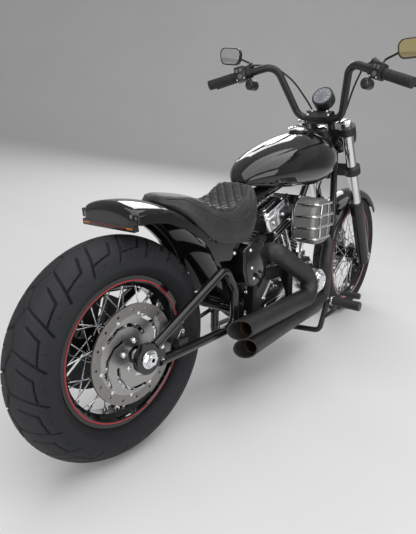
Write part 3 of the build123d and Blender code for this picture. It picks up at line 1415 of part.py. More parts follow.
# Side stand: an eye on the frame's pin, a leg and a flat foot that lies on the ground
with BuildPart() as side_stand:
    eye_low = tuple(stand_pivot - stand_axis * EYE_HALF)
    eye_high = tuple(stand_pivot + stand_axis * EYE_HALF)
    add(bar(eye_low, eye_high, EYE_RADIUS))
    add(bar(tuple(stand_pivot), tuple(stand_ankle), STAND_RADIUS))
    with BuildSketch(Plane(origin=tuple(stand_sole), x_dir=(1, 0, 0), z_dir=tuple(stand_up))):
        Circle(STAND_FOOT_RADIUS)
    extrude(amount=STAND_FOOT_THICKNESS)
    add(
        bar(
            tuple(stand_pivot - stand_axis * 20.0), tuple(stand_pivot + stand_axis * 20.0),
            PIN_RADIUS + SHAFT_FIT,
        ),
        mode=Mode.SUBTRACT,
    )
keep(side_stand, "side_stand")

# Parked stance: lean to the left, rest on the ground and centre the box
leaned = Location((0, 0, lift)) * Location((0, 0, 0), (-LEAN, 0, 0))
boxes = [solid.moved(leaned).bounding_box() for solid in pieces.values()]
middle_x = (min(box.min.X for box in boxes) + max(box.max.X for box in boxes)) / 2
middle_y = (min(box.min.Y for box in boxes) + max(box.max.Y for box in boxes)) / 2
stance = Location((-middle_x, -middle_y, lift)) * Location((0, 0, 0), (-LEAN, 0, 0))

os.makedirs("parts", exist_ok=True)
for name, solid in pieces.items():
    placed = solid.moved(stance)
    placed.label = name
    export_step(placed, f"parts/{name}.step")


def parked(point):
    """A point of the upright machine, in the parked frame and in metres."""
    moved = (stance * Location(point)).position
    return [round(value / 1000.0, 6) for value in moved]


def parked_direction(direction):
    """A direction of the upright machine, in the parked frame."""
    start = Vector(*parked((0, 0, 0)))
    end = Vector(*parked(tuple(Vector(*direction).normalized() * 1000.0)))
    return [round(value, 6) for value in (end - start).normalized()]


print("origin_of_machine", parked((0, 0, 0)))
print("rear_axle", parked((0, 0, REAR_TYRE_RADIUS)), parked_direction((0, 1, 0)))
print("front_axle", parked((WHEELBASE, 0, FRONT_TYRE_RADIUS)), parked_direction((0, 1, 0)))
print("steering", parked(steer_point(0, 0, 600)), parked_direction((-RAKE_SIN, 0, RAKE_COS)))
print("stand_pivot", parked(tuple(stand_pivot)), parked_direction(tuple(stand_axis)), round(stand_fold, 2))
print("stand_sole", parked(tuple(stand_sole)))
print("rear_bore_end", parked((0, -REAR_AXLE_RIGHT, REAR_TYRE_RADIUS)))
print("front_bore_end", parked((WHEELBASE, -FRONT_AXLE_END, FRONT_TYRE_RADIUS)))
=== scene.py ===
"""Looks of the bobber motorcycle: materials, tread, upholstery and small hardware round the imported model.

Positions are given in the upright machine's own millimetres (origin on the ground under the rear axle,
X forward, Y to the rider's left, Z up) and moved into the parked, leaning frame by STANCE.
"""

import json
from math import asin, cos, pi, radians, sin, sqrt, tan

import bmesh
import bpy
import numpy as np
from mathutils import Matrix, Vector
from mathutils.bvhtree import BVHTree


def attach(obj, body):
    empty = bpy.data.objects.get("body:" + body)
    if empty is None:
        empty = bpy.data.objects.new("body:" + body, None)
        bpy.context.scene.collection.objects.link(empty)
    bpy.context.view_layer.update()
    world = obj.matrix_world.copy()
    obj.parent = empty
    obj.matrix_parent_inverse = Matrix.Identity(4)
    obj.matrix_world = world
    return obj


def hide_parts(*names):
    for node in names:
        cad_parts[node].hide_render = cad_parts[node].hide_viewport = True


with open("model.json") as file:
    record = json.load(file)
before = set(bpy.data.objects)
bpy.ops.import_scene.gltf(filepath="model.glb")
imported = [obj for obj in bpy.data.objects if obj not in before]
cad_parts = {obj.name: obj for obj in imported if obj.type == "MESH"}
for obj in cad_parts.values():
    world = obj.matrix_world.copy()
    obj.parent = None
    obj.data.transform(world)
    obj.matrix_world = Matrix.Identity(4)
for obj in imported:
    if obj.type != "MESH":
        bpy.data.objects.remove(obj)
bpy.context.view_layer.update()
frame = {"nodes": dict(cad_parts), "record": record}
nodes = frame["nodes"]
scene = bpy.context.scene

X, Y, Z = Vector((1, 0, 0)), Vector((0, 1, 0)), Vector((0, 0, 1))
LEAN = radians(7.5)
RAKE = radians(30)
VEE_HALF = radians(22.5)
REAR_R = 324.0
FRONT_R = 331.0
WHEELBASE = 1630.0
REAR_HUB = Vector((0, 0, REAR_R))
FRONT_HUB = Vector((WHEELBASE, 0, FRONT_R))
REAR_FENDER_CENTRE = Vector((33, 0, 342))
CRANK = Vector((860, 0, 345))
UPPER_PIPE_BEND = Vector((945, -197, 316))
LOWER_PIPE_BEND = Vector((1004, -161, 244))
BAR_TIP = Vector((1000, 455, 1126))
BAR_BEND = Vector((1085, 172, 1212))
STEER_FOOT = Vector((1604.02, 0, 316))
AHEAD = Vector((cos(RAKE), 0, sin(RAKE)))
UP_STEM = Vector((-sin(RAKE), 0, cos(RAKE)))
FORK_AHEAD = 30.0
FORK_HALF_SPACING = 107.0

hinges = {joint["name"]: joint for joint in frame["record"]["behaviour"]["joints"]}
TURN = Matrix.Rotation(-LEAN, 4, "X")
REAR_AXLE = Vector(hinges["rear_wheel_spin"]["pos_m"])
FRONT_AXLE = Vector(hinges["front_wheel_spin"]["pos_m"])
AXLE_DIR = TURN @ Y
STANCE = Matrix.Translation(REAR_AXLE - TURN @ (REAR_HUB / 1000)) @ TURN @ Matrix.Scale(0.001, 4)
TO_UPRIGHT = STANCE.inverted()


def steer(ahead, left, up):
    """A point ahead of, left of and up along the steering axis."""
    return STEER_FOOT + AHEAD * ahead + Y * left + UP_STEM * up


def along_bar(side, distance, forward=0.0, up=0.0):
    """A point on a handlebar end, so far in from its tip, then forward and up from the bar."""
    inward = (BAR_BEND - BAR_TIP).normalized()
    ahead = (X - inward * inward.x).normalized()
    above = inward.cross(ahead).normalized()
    point = BAR_TIP + inward * distance + ahead * forward + above * up
    return Vector((point.x, side * point.y, point.z))


def on_ring(centre, radius, degrees, left=0.0):
    """A point on a circle about a centre in the wheels' plane, then moved to the left."""
    angle = radians(degrees)
    return centre + Vector((radius * cos(angle), left, radius * sin(angle)))


def vee(lean):
    """The directions across and up along a cylinder: lean -1 for the rear one, 1 for the front one."""
    angle = VEE_HALF * lean
    return Vector((cos(angle), 0, -sin(angle))), Vector((sin(angle), 0, cos(angle)))


def moved(points, matrix):
    """An array's points under a 4 by 4 matrix."""
    matrix = np.array(matrix)
    return points @ matrix[:3, :3].T + matrix[:3, 3]


def basis(axis):
    """Two unit vectors square to an axis."""
    axis = axis.normalized()
    first = axis.cross(Z if abs(axis.z) < 0.9 else X).normalized()
    return first, axis.cross(first).normalized()


# Mesh makers: each adds to a bmesh, in upright millimetres
def circle(bm, centre, first, second, radius, segments):
    """Vertices round a centre, or just one where there is no radius."""
    if radius < 1e-6:
        return [bm.verts.new(centre)]
    turns = (2 * pi * step / segments for step in range(segments))
    return [bm.verts.new(centre + (first * cos(turn) + second * sin(turn)) * radius) for turn in turns]


def skin(bm, rings, segments, material=0):
    """Faces from each ring of vertices to the next."""
    for low, high in zip(rings, rings[1:]):
        for step in range(segments):
            after = (step + 1) % segments
            turns = ((low, step), (low, after), (high, after), (high, step))
            corners = list(dict.fromkeys(ring[index % len(ring)] for ring, index in turns))
            if len(corners) > 2:
                bm.faces.new(corners).material_index = material


def lathe(bm, centre, axis, profile, segments=40, material=0):
    """Turn (along, radius) points about an axis through a centre."""
    centre, axis = Vector(centre), Vector(axis).normalized()
    first, second = basis(axis)
    rings = [circle(bm, centre + axis * along, first, second, radius, segments) for along, radius in profile]
    skin(bm, rings, segments, material)


def smooth_path(points, per_span=8):
    """A rounded line through given points."""
    points = [Vector(point) for point in points]
    padded = [points[0] * 2 - points[1]] + points + [points[-1] * 2 - points[-2]]
    path = []
    for a, b, c, d in zip(padded, padded[1:], padded[2:], padded[3:]):
        bend, twist = 2 * a - 5 * b + 4 * c - d, 3 * b - a - 3 * c + d
        for t in (step / per_span for step in range(per_span)):
            path.append(0.5 * (2 * b + (c - a) * t + bend * t * t + twist * t ** 3))
    path.append(points[-1])
    return path


def sweep(bm, path, radius, segments=10, material=0, closed=False):
    """A round bar along a line; the radius may be one number or one for each point."""
    radii = radius if isinstance(radius, list) else [radius] * len(path)
    path = [Vector(point) for point in path]
    first = None
    rings = []
    for index, point in enumerate(path):
        before = path[index - 1] if index or closed else point
        after = path[(index + 1) % len(path)] if index + 1 < len(path) or closed else point
        along = (after - before).normalized()
        if first is None:
            first = basis(along)[0]
        first = (first - along * first.dot(along)).normalized()
        rings.append(circle(bm, point, first, along.cross(first), radii[index], segments))
    skin(bm, rings + rings[:1] if closed else rings, segments, material)
    if not closed:
        bm.faces.new(rings[0][::-1]).material_index = material
        bm.faces.new(rings[-1]).material_index = material


def slab(bm, outline, origin, across, along, depth, bevel=1.5, material=0):
    """A plate with rounded edges: outline points (a, b) on two directions from an origin, then a depth."""
    across, along = Vector(across).normalized(), Vector(along).normalized()
    normal = across.cross(along).normalized()
    origin = Vector(origin)
    part = bmesh.new()
    face = part.faces.new([part.verts.new(origin + across * a + along * b) for a, b in outline])
    extruded = bmesh.ops.extrude_face_region(part, geom=[face])
    for vert in [item for item in extruded["geom"] if isinstance(item, bmesh.types.BMVert)]:
        vert.co += normal * depth
    bmesh.ops.recalc_face_normals(part, faces=part.faces)
    if bevel:
        bmesh.ops.bevel(
            part, geom=part.edges[:] + part.verts[:], offset=bevel, segments=2, profile=0.6,
            affect="EDGES", clamp_overlap=True,
        )
    for item in part.faces:
        item.material_index = material
    spare = bpy.data.meshes.new("spare")
    part.to_mesh(spare)
    part.free()
    bm.from_mesh(spare)
    bpy.data.meshes.remove(spare)


def box(bm, centre, size, axes=(X, Y, Z), bevel=2.0, material=0):
    """A block with rounded edges about a centre."""
    a, b, c = (Vector(axis).normalized() for axis in axes)
    half = [value / 2 for value in size]
    outline = [(-half[0], -half[1]), (half[0], -half[1]), (half[0], half[1]), (-half[0], half[1])]
    start = Vector(centre) - a.cross(b).normalized() * half[2]
    slab(bm, outline, start, a, b, size[2], bevel, material)


def rounded(width, height, corner, steps=6):
    """The outline of a rectangle with round corners."""
    points = []
    for cx, cy, start in ((1, 1, 0), (-1, 1, 90), (-1, -1, 180), (1, -1, 270)):
        for step in range(steps + 1):
            angle = radians(start + 90 * step / steps)
            points.append((
                cx * (width / 2 - corner) + corner * cos(angle),
                cy * (height / 2 - corner) + corner * sin(angle),
            ))
    return points


def dome_bolt(bm, at, axis, radius, height, material=0):
    """A domed socket screw."""
    hole = radius * 0.48
    profile = [
        (0, radius), (height * 0.45, radius), (height * 0.82, radius * 0.82), (height, hole * 1.15),
        (height * 0.96, hole), (height * 0.45, hole * 0.94), (height * 0.42, 0),
    ]
    lathe(bm, at, axis, profile, 14, material)


def hex_bolt(bm, at, axis, radius, height, material=0):
    """A hexagon head on a washer."""
    axis = Vector(axis).normalized()
    washer = radius * 1.35
    lathe(bm, at, axis, [(0, washer), (1.6, washer), (2.0, washer - 0.5), (2.0, 0)], 20, material)
    profile = [(0, radius), (height * 0.82, radius), (height, radius * 0.86), (height, 0)]
    lathe(bm, Vector(at) + axis * 2.0, axis, profile, 6, material)


def show(name, data, materials, body, smooth=38, stands_for=()):
    """Place a mesh of the parked frame in the scene, as a piece that rides on a body."""
    item = bpy.data.objects.new(name, data)
    scene.collection.objects.link(item)
    for material in materials:
        data.materials.append(material)
    data.polygons.foreach_set("use_smooth", [True] * len(data.polygons))
    data.set_sharp_from_angle(angle=radians(smooth))
    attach(item, body)
    if stands_for:
        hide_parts(*stands_for)
    return item


def piece(name, bm, materials, body, smooth=38, stands_for=()):
    """Show what a bmesh holds in upright millimetres."""
    bmesh.ops.remove_doubles(bm, verts=bm.verts, dist=0.002)
    bmesh.ops.recalc_face_normals(bm, faces=bm.faces)
    bm.transform(STANCE)
    data = bpy.data.meshes.new(name)
    bm.to_mesh(data)
    bm.free()
    return show(name, data, materials, body, smooth, stands_for)


# Materials
class Graph:
    """A small helper for a material's nodes."""

    SOCKETS = {
        "color": "Base Color", "rough": "Roughness", "metal": "Metallic", "coat": "Coat Weight",
        "coat_rough": "Coat Roughness", "spec": "Specular IOR Level", "alpha": "Alpha",
        "sheen": "Sheen Weight", "sheen_rough": "Sheen Roughness",
        "glow": "Emission Color", "glow_strength": "Emission Strength",
    }

    def __init__(self, name):
        self.material = bpy.data.materials.new(name)
        self.material.use_nodes = True
        self.tree = self.material.node_tree
        self.shader = next(node for node in self.tree.nodes if node.type == "BSDF_PRINCIPLED")
        self.place = self.tree.nodes.new("ShaderNodeTexCoord").outputs["Object"]

    def feed(self, socket, value):
        """Link another node's output to a socket, or set the socket's value."""
        if hasattr(value, "is_output"):
            self.tree.links.new(value, socket)
        else:
            socket.default_value = (*value, 1) if socket.type == "RGBA" else value

    def node(self, kind, inputs, **settings):
        node = self.tree.nodes.new(kind)
        for key, value in settings.items():
            setattr(node, key, value)
        for key, value in inputs.items():
            self.feed(node.inputs[key], value)
        return node

    def set(self, **values):
        for key, value in values.items():
            self.feed(self.shader.inputs[self.SOCKETS[key]], value)

    def noise(self, scale, detail, rough, distortion=0.0, vector=None):
        inputs = {"Scale": scale, "Detail": detail, "Roughness": rough, "Distortion": distortion}
        return self.node("ShaderNodeTexNoise", {"Vector": vector or self.place, **inputs}).outputs["Fac"]

    def ramp(self, fac, low, high):
        """Nothing below one level of a pattern, everything above another."""
        node = self.node("ShaderNodeValToRGB", {"Fac": fac})
        first, last = node.color_ramp.elements
        first.position, last.position = low, high
        return node.outputs["Color"]

    def math(self, operation, a, b=0.0, clamp=False):
        node = self.node("ShaderNodeMath", {0: a, 1: b}, operation=operation)
        node.use_clamp = clamp
        return node.outputs[0]

    def vector_math(self, operation, a, b=(0, 0, 0)):
        node = self.node("ShaderNodeVectorMath", {0: a, 1: b}, operation=operation)
        return node.outputs["Value" if operation in ("LENGTH", "DOT_PRODUCT") else "Vector"]

    def mix(self, fac, a, b):
        """One colour where the factor is 0, another where it is 1."""
        return self.node("ShaderNodeMix", {0: fac, 6: a, 7: b}, data_type="RGBA").outputs[2]

    def rough(self, fac, spread, base):
        """Roughness of a base value, and more by a spread where a pattern is strong."""
        level = self.math("MULTIPLY_ADD", fac, spread)
        level.node.inputs[2].default_value = base
        self.set(rough=level)

    def bump(self, height, strength=0.3, distance=0.001, under=None):
        inputs = {"Height": height, "Strength": strength, "Distance": distance}
        if under is not None:
            inputs["Normal"] = under
        normal = self.node("ShaderNodeBump", inputs).outputs["Normal"]
        self.tree.links.new(normal, self.shader.inputs["Normal"])
        return normal

    def radius(self, point, axis):
        """Distance from an axis through a point of the parked frame."""
        away = self.vector_math("SUBTRACT", self.place, point)
        return self.vector_math("LENGTH", self.vector_math("CROSS_PRODUCT", away, axis))

    def along(self, point, axis):
        """Distance along an axis from a point of the parked frame."""
        return self.vector_math("DOT_PRODUCT", self.vector_math("SUBTRACT", self.place, point), axis)

    def by_radius(self, away):
        """Texture coordinates that change only with the distance from an axis."""
        return self.node("ShaderNodeCombineXYZ", {"X": away}).outputs[0]


def paint(name, color, rough, coat, spread=0.03, peel=0.02, dust=(0.05, 0.047, 0.043)):
    """Sprayed paint: faint orange peel, wiped dust and an uneven polish."""
    g = Graph(name)
    film = g.ramp(g.noise(9, 5, 0.6), 0.42, 0.75)
    g.set(color=g.mix(g.math("MULTIPLY", film, 0.05), color, dust), spec=0.12, coat=coat, coat_rough=0.03)
    g.rough(g.noise(38, 6, 0.65, 0.6), spread * 2, rough - spread)
    g.bump(g.noise(420, 2, 0.5), peel, 0.0006)
    return g.material


def metal(name, color, rough, spread=0.05, grain=0.03, grain_scale=260, tint=None):
    """Plated or polished metal: finger haze, fine grain and a slight tint in patches."""
    g = Graph(name)
    patches = g.math("MULTIPLY", g.ramp(g.noise(11, 4, 0.6), 0.4, 0.72), 0.3)
    g.set(color=g.mix(patches, color, tint or [channel * 0.72 for channel in color]), metal=1.0)
    g.rough(g.noise(26, 5, 0.6, 0.4), spread * 2, max(rough - spread, 0.02))
    g.bump(g.noise(grain_scale, 3, 0.6), grain, 0.0005)
    return g.material


def coated(name, color, rough, grit=0.12, grit_scale=900, light=None):
    """Satin or matte coating with a fine grit and rubbed patches."""
    g = Graph(name)
    rub = g.math("MULTIPLY", g.ramp(g.noise(17, 6, 0.6), 0.45, 0.8), 0.4)
    g.set(color=g.mix(rub, color, light or [channel * 1.9 + 0.006 for channel in color]))
    g.rough(g.noise(60, 5, 0.6), 0.16, rough - 0.08)
    g.bump(g.noise(grit_scale, 2, 0.5), grit, 0.0005)
    return g.material


def tyre_rubber(name, axle, radius):
    """Tyre: worn lighter crown, darker sidewall with fine turned lines."""
    g = Graph(name)
    away = g.radius(axle, AXLE_DIR)
    crown = g.math("MULTIPLY", g.math("SUBTRACT", away, radius * 0.001 * 0.86), 26.0, clamp=True)
    mottled = g.noise(42, 7, 0.65)
    worn = g.mix(mottled, (0.016, 0.0165, 0.018), (0.038, 0.039, 0.042))
    wall = g.mix(mottled, (0.009, 0.0095, 0.011), (0.020, 0.021, 0.024))
    g.set(color=g.mix(crown, wall, worn), spec=0.28)
    g.rough(mottled, 0.22, 0.55)
    rings = g.node("ShaderNodeTexWave", {"Vector": g.by_radius(away), "Scale": 55.0}, bands_direction="X")
    fine = g.math("MULTIPLY", rings.outputs["Fac"], g.math("SUBTRACT", 1.0, crown))
    g.bump(g.noise(300, 5, 0.7), 0.25, 0.0008, g.bump(fine, 0.12, 0.0006))
    return g.material


def cast_metal(name):
    """Black cast engine case: coarse skin with lighter rubbed spots."""
    g = Graph(name)
    skin_noise = g.noise(150, 6, 0.7)
    g.set(color=g.mix(g.ramp(skin_noise, 0.5, 0.8), (0.012, 0.012, 0.013), (0.04, 0.04, 0.042)))
    g.rough(skin_noise, 0.2, 0.36)
    g.bump(skin_noise, 0.35, 0.0012)
    return g.material


def spoke_material(name, axle, flange):
    """Hub: black between the flanges, bright steel on the spokes."""
    g = Graph(name)
    outer = g.math("GREATER_THAN", g.radius(axle, AXLE_DIR), flange)
    g.set(color=g.mix(outer, (0.010, 0.010, 0.011), (0.74, 0.75, 0.77)), metal=outer)
    g.rough(g.noise(70, 4, 0.6), 0.12, 0.14)
    g.bump(g.noise(500, 3, 0.6), 0.05, 0.0005)
    return g.material


def disc_material(name, axle, inner):
    """Brake disc: polished carrier inside, a grey band outside with turned and swept lines."""
    g = Graph(name)
    away = g.radius(axle, AXLE_DIR)
    band = g.math("GREATER_THAN", away, inner)
    scuff = g.noise(90, 6, 0.7)
    swept = g.mix(scuff, (0.20, 0.19, 0.18), (0.36, 0.345, 0.33))
    plate = g.mix(scuff, (0.30, 0.30, 0.30), (0.50, 0.49, 0.48))
    g.set(color=g.mix(band, plate, swept), metal=1.0)
    g.rough(band, 0.14, 0.34)
    g.bump(g.noise(900.0, 3.0, 0.5, vector=g.by_radius(away)), 0.25, 0.0004)
    return g.material


def fin_material(name, lean):
    """Cylinder: black enamel with machined, bright fin edges."""
    g = Graph(name)
    side, up = (TURN @ direction for direction in vee(lean))
    crank = STANCE @ CRANK
    length = g.math("ABSOLUTE", g.along(crank, side))
    depth = g.math("ABSOLUTE", g.along(crank, AXLE_DIR))
    corner = g.math("ADD", g.math("MULTIPLY", length, 0.7), g.math("MULTIPLY", depth, 0.7))

    def outside(long_half, deep_half):
        """1 beyond a rectangle about the cylinder's axis."""
        limits = ((length, long_half), (depth, deep_half))
        return g.math("MAXIMUM", *(g.math("GREATER_THAN", *limit) for limit in limits))

    edge = g.math("MAXIMUM", outside(0.0722, 0.0662), g.math("GREATER_THAN", corner, 0.0905))
    normal = g.node("ShaderNodeNewGeometry", {}).outputs["Normal"]
    upright = g.math("LESS_THAN", g.math("ABSOLUTE", g.vector_math("DOT_PRODUCT", normal, up)), 0.5)
    below_head = g.math("LESS_THAN", g.along(crank, up), 0.2405)
    bright = g.math("MAXIMUM", below_head, outside(0.0752, 0.0872))
    edge = g.math("MULTIPLY", g.math("MULTIPLY", edge, upright), bright)
    g.set(color=g.mix(edge, (0.010, 0.010, 0.011), (0.78, 0.78, 0.79)), metal=edge)
    g.rough(g.noise(120, 5, 0.6), 0.2, 0.22)
    g.bump(g.noise(240, 4, 0.6), 0.15, 0.0008)
    return g.material


def mesh_material(name):
    """Filter gauze: crossing wires over a dark element."""
    g = Graph(name)
    forward, up, left = (g.along((0, 0, 0), TURN @ direction) for direction in (X, Z, Y))
    strands = [
        g.math("ABSOLUTE", g.math("SINE", g.math("MULTIPLY", place, 900.0)))
        for place in (g.math("ADD", forward, left), up)
    ]
    wires = g.math("MAXIMUM", *strands)
    g.set(color=g.mix(wires, (0.03, 0.03, 0.032), (0.27, 0.265, 0.25)), metal=0.6, rough=0.45)
    g.bump(wires, 0.5, 0.001)
    return g.material


def leather_material(name):
    """Black leather: fine pebble grain, soft creases and a worn sheen on the high spots."""
    g = Graph(name)
    inputs = {"Vector": g.place, "Scale": 420.0, "Randomness": 0.9}
    pebble = g.node("ShaderNodeTexVoronoi", inputs, feature="SMOOTH_F1").outputs["Distance"]
    crease = g.noise(60, 6, 0.7, 1.2)
    worn = g.ramp(g.noise(14, 4, 0.55), 0.4, 0.8)
    color = g.mix(worn, (0.014, 0.0145, 0.016), (0.030, 0.031, 0.034))
    g.set(color=color, sheen=0.15, sheen_rough=0.4, spec=0.5)
    g.rough(crease, 0.2, 0.38)
    g.bump(crease, 0.12, 0.0012, g.bump(pebble, 0.22, 0.0006))
    return g.material


def glossy(name, color, rough, glow=0.0, alpha=1.0):
    """A moulded clear or coloured lens with faint flow lines."""
    g = Graph(name)
    flow = g.noise(55, 3, 0.5)
    g.set(color=g.mix(flow, [channel * 0.8 for channel in color], color), alpha=alpha)
    g.rough(flow, 0.06, rough)
    if glow:
        g.set(glow=color, glow_strength=glow)
    g.bump(g.noise(300, 2, 0.5), 0.04, 0.0005)
    return g.material


GLOSS = paint("gloss_black_paint", (0.006, 0.006, 0.007), 0.10, 1.0)
SATIN = coated("satin_black_coat", (0.012, 0.012, 0.013), 0.40)
PIPE = coated("matte_black_pipe", (0.016, 0.0155, 0.015), 0.46, 0.18, 700, (0.05, 0.046, 0.041))
CHROME = metal("bright_chrome", (0.80, 0.81, 0.83), 0.07, 0.03, 0.015)
SHOW_CHROME = metal("cover_chrome", (0.86, 0.87, 0.89), 0.17, 0.04, 0.015)
STEEL = metal("turned_steel", (0.56, 0.56, 0.57), 0.24, 0.08, 0.06)
ALLOY = metal("polished_alloy", (0.72, 0.73, 0.75), 0.16, 0.07, 0.05)
RED = paint("red_pinstripe", (0.55, 0.012, 0.018), 0.25, 0.6, 0.03, 0.02, (0.5, 0.05, 0.05))
BRONZE = metal("burnt_bronze", (0.26, 0.19, 0.12), 0.35, 0.08, 0.1, 500, (0.09, 0.07, 0.06))
RUBBER = coated("black_rubber", (0.014, 0.014, 0.015), 0.55, 0.2, 500)
# Near-black matte for the pipes' insides: soot on the lining, and painted shade on the disc that closes the
# bore
SOOT_AND_PAINTED_SHADE = coated("pipe_inside", (0.006, 0.006, 0.006), 0.8, 0.3, 400)
REAR_RUBBER = tyre_rubber("rear_tyre_rubber", REAR_AXLE, REAR_R)
FRONT_RUBBER = tyre_rubber("front_tyre_rubber", FRONT_AXLE, FRONT_R)
CAST = cast_metal("cast_black_case")
LEATHER = leather_material("black_leather")
GAUZE = mesh_material("filter_gauze")
THREAD = coated("seat_thread", (0.02, 0.02, 0.022), 0.7, 0.4, 1500)
SMOKE = glossy("smoked_lens", (0.03, 0.028, 0.026), 0.06)
AMBER = glossy("amber_lens", (0.55, 0.17, 0.02), 0.1, 0.05)
RED_LENS = glossy("red_lens", (0.22, 0.008, 0.008), 0.08, 0.02)
CLEAR = glossy("clear_glass", (0.95, 0.96, 0.97), 0.02, 0.0, 0.18)
GLASS_MIRROR = metal("mirror_glass", (0.88, 0.88, 0.88), 0.03, 0.01, 0.0)
# Mirror glass tinted gold: a painted warm reflection, used for the right mirror only
WARM_REFLECTION_MIRROR = metal("mirror_glass_painted_warm_reflection", (0.95, 0.80, 0.42), 0.03, 0.01, 0.0)
BUTTON = coated("grey_button", (0.10, 0.10, 0.105), 0.45, 0.1, 900)
DIAL = coated("dial_face", (0.06, 0.075, 0.105), 0.5, 0.03, 900)
DIAL_MARK = coated("dial_marks", (0.62, 0.66, 0.72), 0.5, 0.02, 900)

# The CAD solids that stay in view get their finish here
FINISH = {
    GLOSS: [
        "rear_rim", "front_rim", "swingarm_right", "swingarm_left", "frame_backbone", "frame_cradle_right",
        "frame_cradle_left", "fuel_tank", "rear_fender", "side_covers", "fender_struts", "front_fender",
        "headlight", "fork_legs",
    ],
    SATIN: [
        "rear_pulley", "rear_caliper", "primary_cover", "oil_tank", "lower_clamp", "upper_clamp",
        "front_caliper", "bar_clamp", "speedometer", "hand_controls", "front_indicators", "side_stand",
        "handlebar", "foot_controls", "mirrors", "fuel_cap",
    ],
    CHROME: ["rear_axle", "front_axle", "pushrod_tubes", "fork_tubes"],
    SHOW_CHROME: ["rocker_cover_rear", "rocker_cover_front", "cam_cover"],
    ALLOY: ["gearbox_cover"],
    PIPE: ["exhaust_upper", "exhaust_lower"],
    RUBBER: ["drive_belt", "grips", "brake_hose", "clutch_cable"],
    CAST: ["crankcase"],
    GAUZE: ["air_cleaner"],
    SMOKE: ["tail_light"],
    LEATHER: ["seat"],
    REAR_RUBBER: ["rear_tyre"],
    FRONT_RUBBER: ["front_tyre"],
    spoke_material("rear_hub_and_spokes", REAR_AXLE, 0.0705): ["rear_hub"],
    spoke_material("front_hub_and_spokes", FRONT_AXLE, 0.0545): ["front_hub"],
    disc_material("rear_disc_metal", REAR_AXLE, 0.117): ["rear_disc"],
    disc_material("front_disc_metal", FRONT_AXLE, 0.121): ["front_disc"],
    fin_material("rear_cylinder_fins", -1): ["cylinder_rear"],
    fin_material("front_cylinder_fins", 1): ["cylinder_front"],
}
for finish, names in FINISH.items():
    for name in names:
        data = nodes[name].data
        if not nodes[name].material_slots:
            data.materials.append(finish)
        for place in nodes[name].material_slots:
            place.link = "OBJECT"
            place.material = finish


# Tyres with their tread
TREAD_PITCH = 101.8
TREAD_START = 36.6
TREAD_HALF_WIDTH = 80.0
GROOVE_DEPTH = 6.5
CENTRE_GROOVES = [((8, 5), (-8, 56), 3.2), ((-8, 56), (8, 5 + TREAD_PITCH), 3.2)]
SIDE_GROOVES = [
    ((29, 1), (66, 26), 2.7), ((66, 26), (73, 92), 1.5),
    ((12, 60), (56, 82), 2.7), ((56, 82), (95, 107), 2.5),
]
WALL_RIDGES = {2: 0.8, 3: 0.8, 7: 1.0}


def groove(across, along, start, end, half):
    """1 inside a straight groove's half width, fading to 0 over its edge."""
    dx, dy = end[0] - start[0], end[1] - start[1]
    share = np.clip(((across - start[0]) * dx + (along - start[1]) * dy) / (dx * dx + dy * dy), 0, 1)
    gap = np.hypot(across - start[0] - share * dx, along - start[1] - share * dy)
    return np.clip((half + 0.8 - gap) / 1.6, 0, 1)


def groove_field(s, t):
    """How deep the tread is cut, 0 to 1, at s across from the middle and t round the tyre, both in mm."""
    t = t - TREAD_START
    middle_t = np.mod(t, TREAD_PITCH)
    side_t = np.mod(t + np.where(s >= 0, 0.5 * TREAD_PITCH, 0.0), TREAD_PITCH)
    depth = np.zeros_like(s)
    for turn in (-TREAD_PITCH, 0, TREAD_PITCH):
        cuts = [groove(s, middle_t + turn, *line) for line in CENTRE_GROOVES]
        cuts += [groove(np.abs(s), side_t + turn, *line) for line in SIDE_GROOVES]
        dimple = np.hypot(np.abs(s) - 87.5, side_t + turn - 57)
        cuts.append(0.35 * np.clip((4.6 - dimple) / 1.5, 0, 1))
        for cut in cuts:
            depth = np.maximum(depth, cut)
    return depth


def tread_tyre(end, hub, crown, half_width, bead, rim_half, pitches, around, step, rubber):
    """A tyre whose crown carries cut grooves and whose walls carry fine moulded rings."""
    radius = hub.z
    reach = asin(half_width / crown)
    lip = bead + 17.0
    shoulder = radius - crown + crown * cos(reach)
    wall = []
    for index in range(1, 9):
        share = index / 8
        out = half_width * (1 - share ** 2) + rim_half * share ** 2 - 1.2 * sin(pi * share)
        wall.append((out + WALL_RIDGES.get(index, 0.0), shoulder + (lip - shoulder) * share))
    wall += [(rim_half - 5.6, lip - 1.0), (rim_half - 6.0, lip - 10.0)]
    wall_y, wall_r = np.array(wall).T
    tread = np.linspace(-reach, reach, int(2 * reach * crown / step) + 1)
    y = np.concatenate([-wall_y[::-1], crown * np.sin(tread), wall_y])
    r = np.concatenate([wall_r[::-1], radius - crown + crown * np.cos(tread), wall_r])
    phi = np.pad(tread, len(wall))
    on_tread = np.pad(np.ones(len(tread), bool), len(wall))

    angles = np.arange(around) * 2 * pi / around
    across, along = np.meshgrid(crown * phi, angles * radius)
    pitch = 2 * pi * radius / pitches
    cuts = groove_field(across * TREAD_HALF_WIDTH / half_width, along * TREAD_PITCH / pitch)
    fade = np.clip((reach * crown - np.abs(across)) / 10.0, 0, 1)
    depth = np.where(on_tread, cuts, 0.0) * GROOVE_DEPTH * fade
    rad = r - depth * np.cos(phi)
    left = y - depth * np.sin(phi)
    turn = angles[:, None]
    points = np.stack([hub.x + rad * np.cos(turn), left, hub.z + rad * np.sin(turn)], -1).reshape(-1, 3)
    low = np.arange(len(points)).reshape(around, -1)
    high = np.roll(low, -1, 0)
    faces = np.stack([high[:, :-1], high[:, 1:], low[:, 1:], low[:, :-1]], -1).reshape(-1, 4)
    name = f"{end}_tyre_tread"
    data = bpy.data.meshes.new(name)
    data.from_pydata(moved(points, STANCE).tolist(), [], faces.tolist())
    data.update()
    show(name, data, [rubber], f"{end}_wheel", 50, [f"{end}_tyre"])


tread_tyre("rear", REAR_HUB, 81.0, 80.0, 203.0, 46.0, 20, 864, 2.42, REAR_RUBBER)
tread_tyre("front", FRONT_HUB, 55.0, 52.0, 241.0, 41.0, 26, 884, 2.1, FRONT_RUBBER)


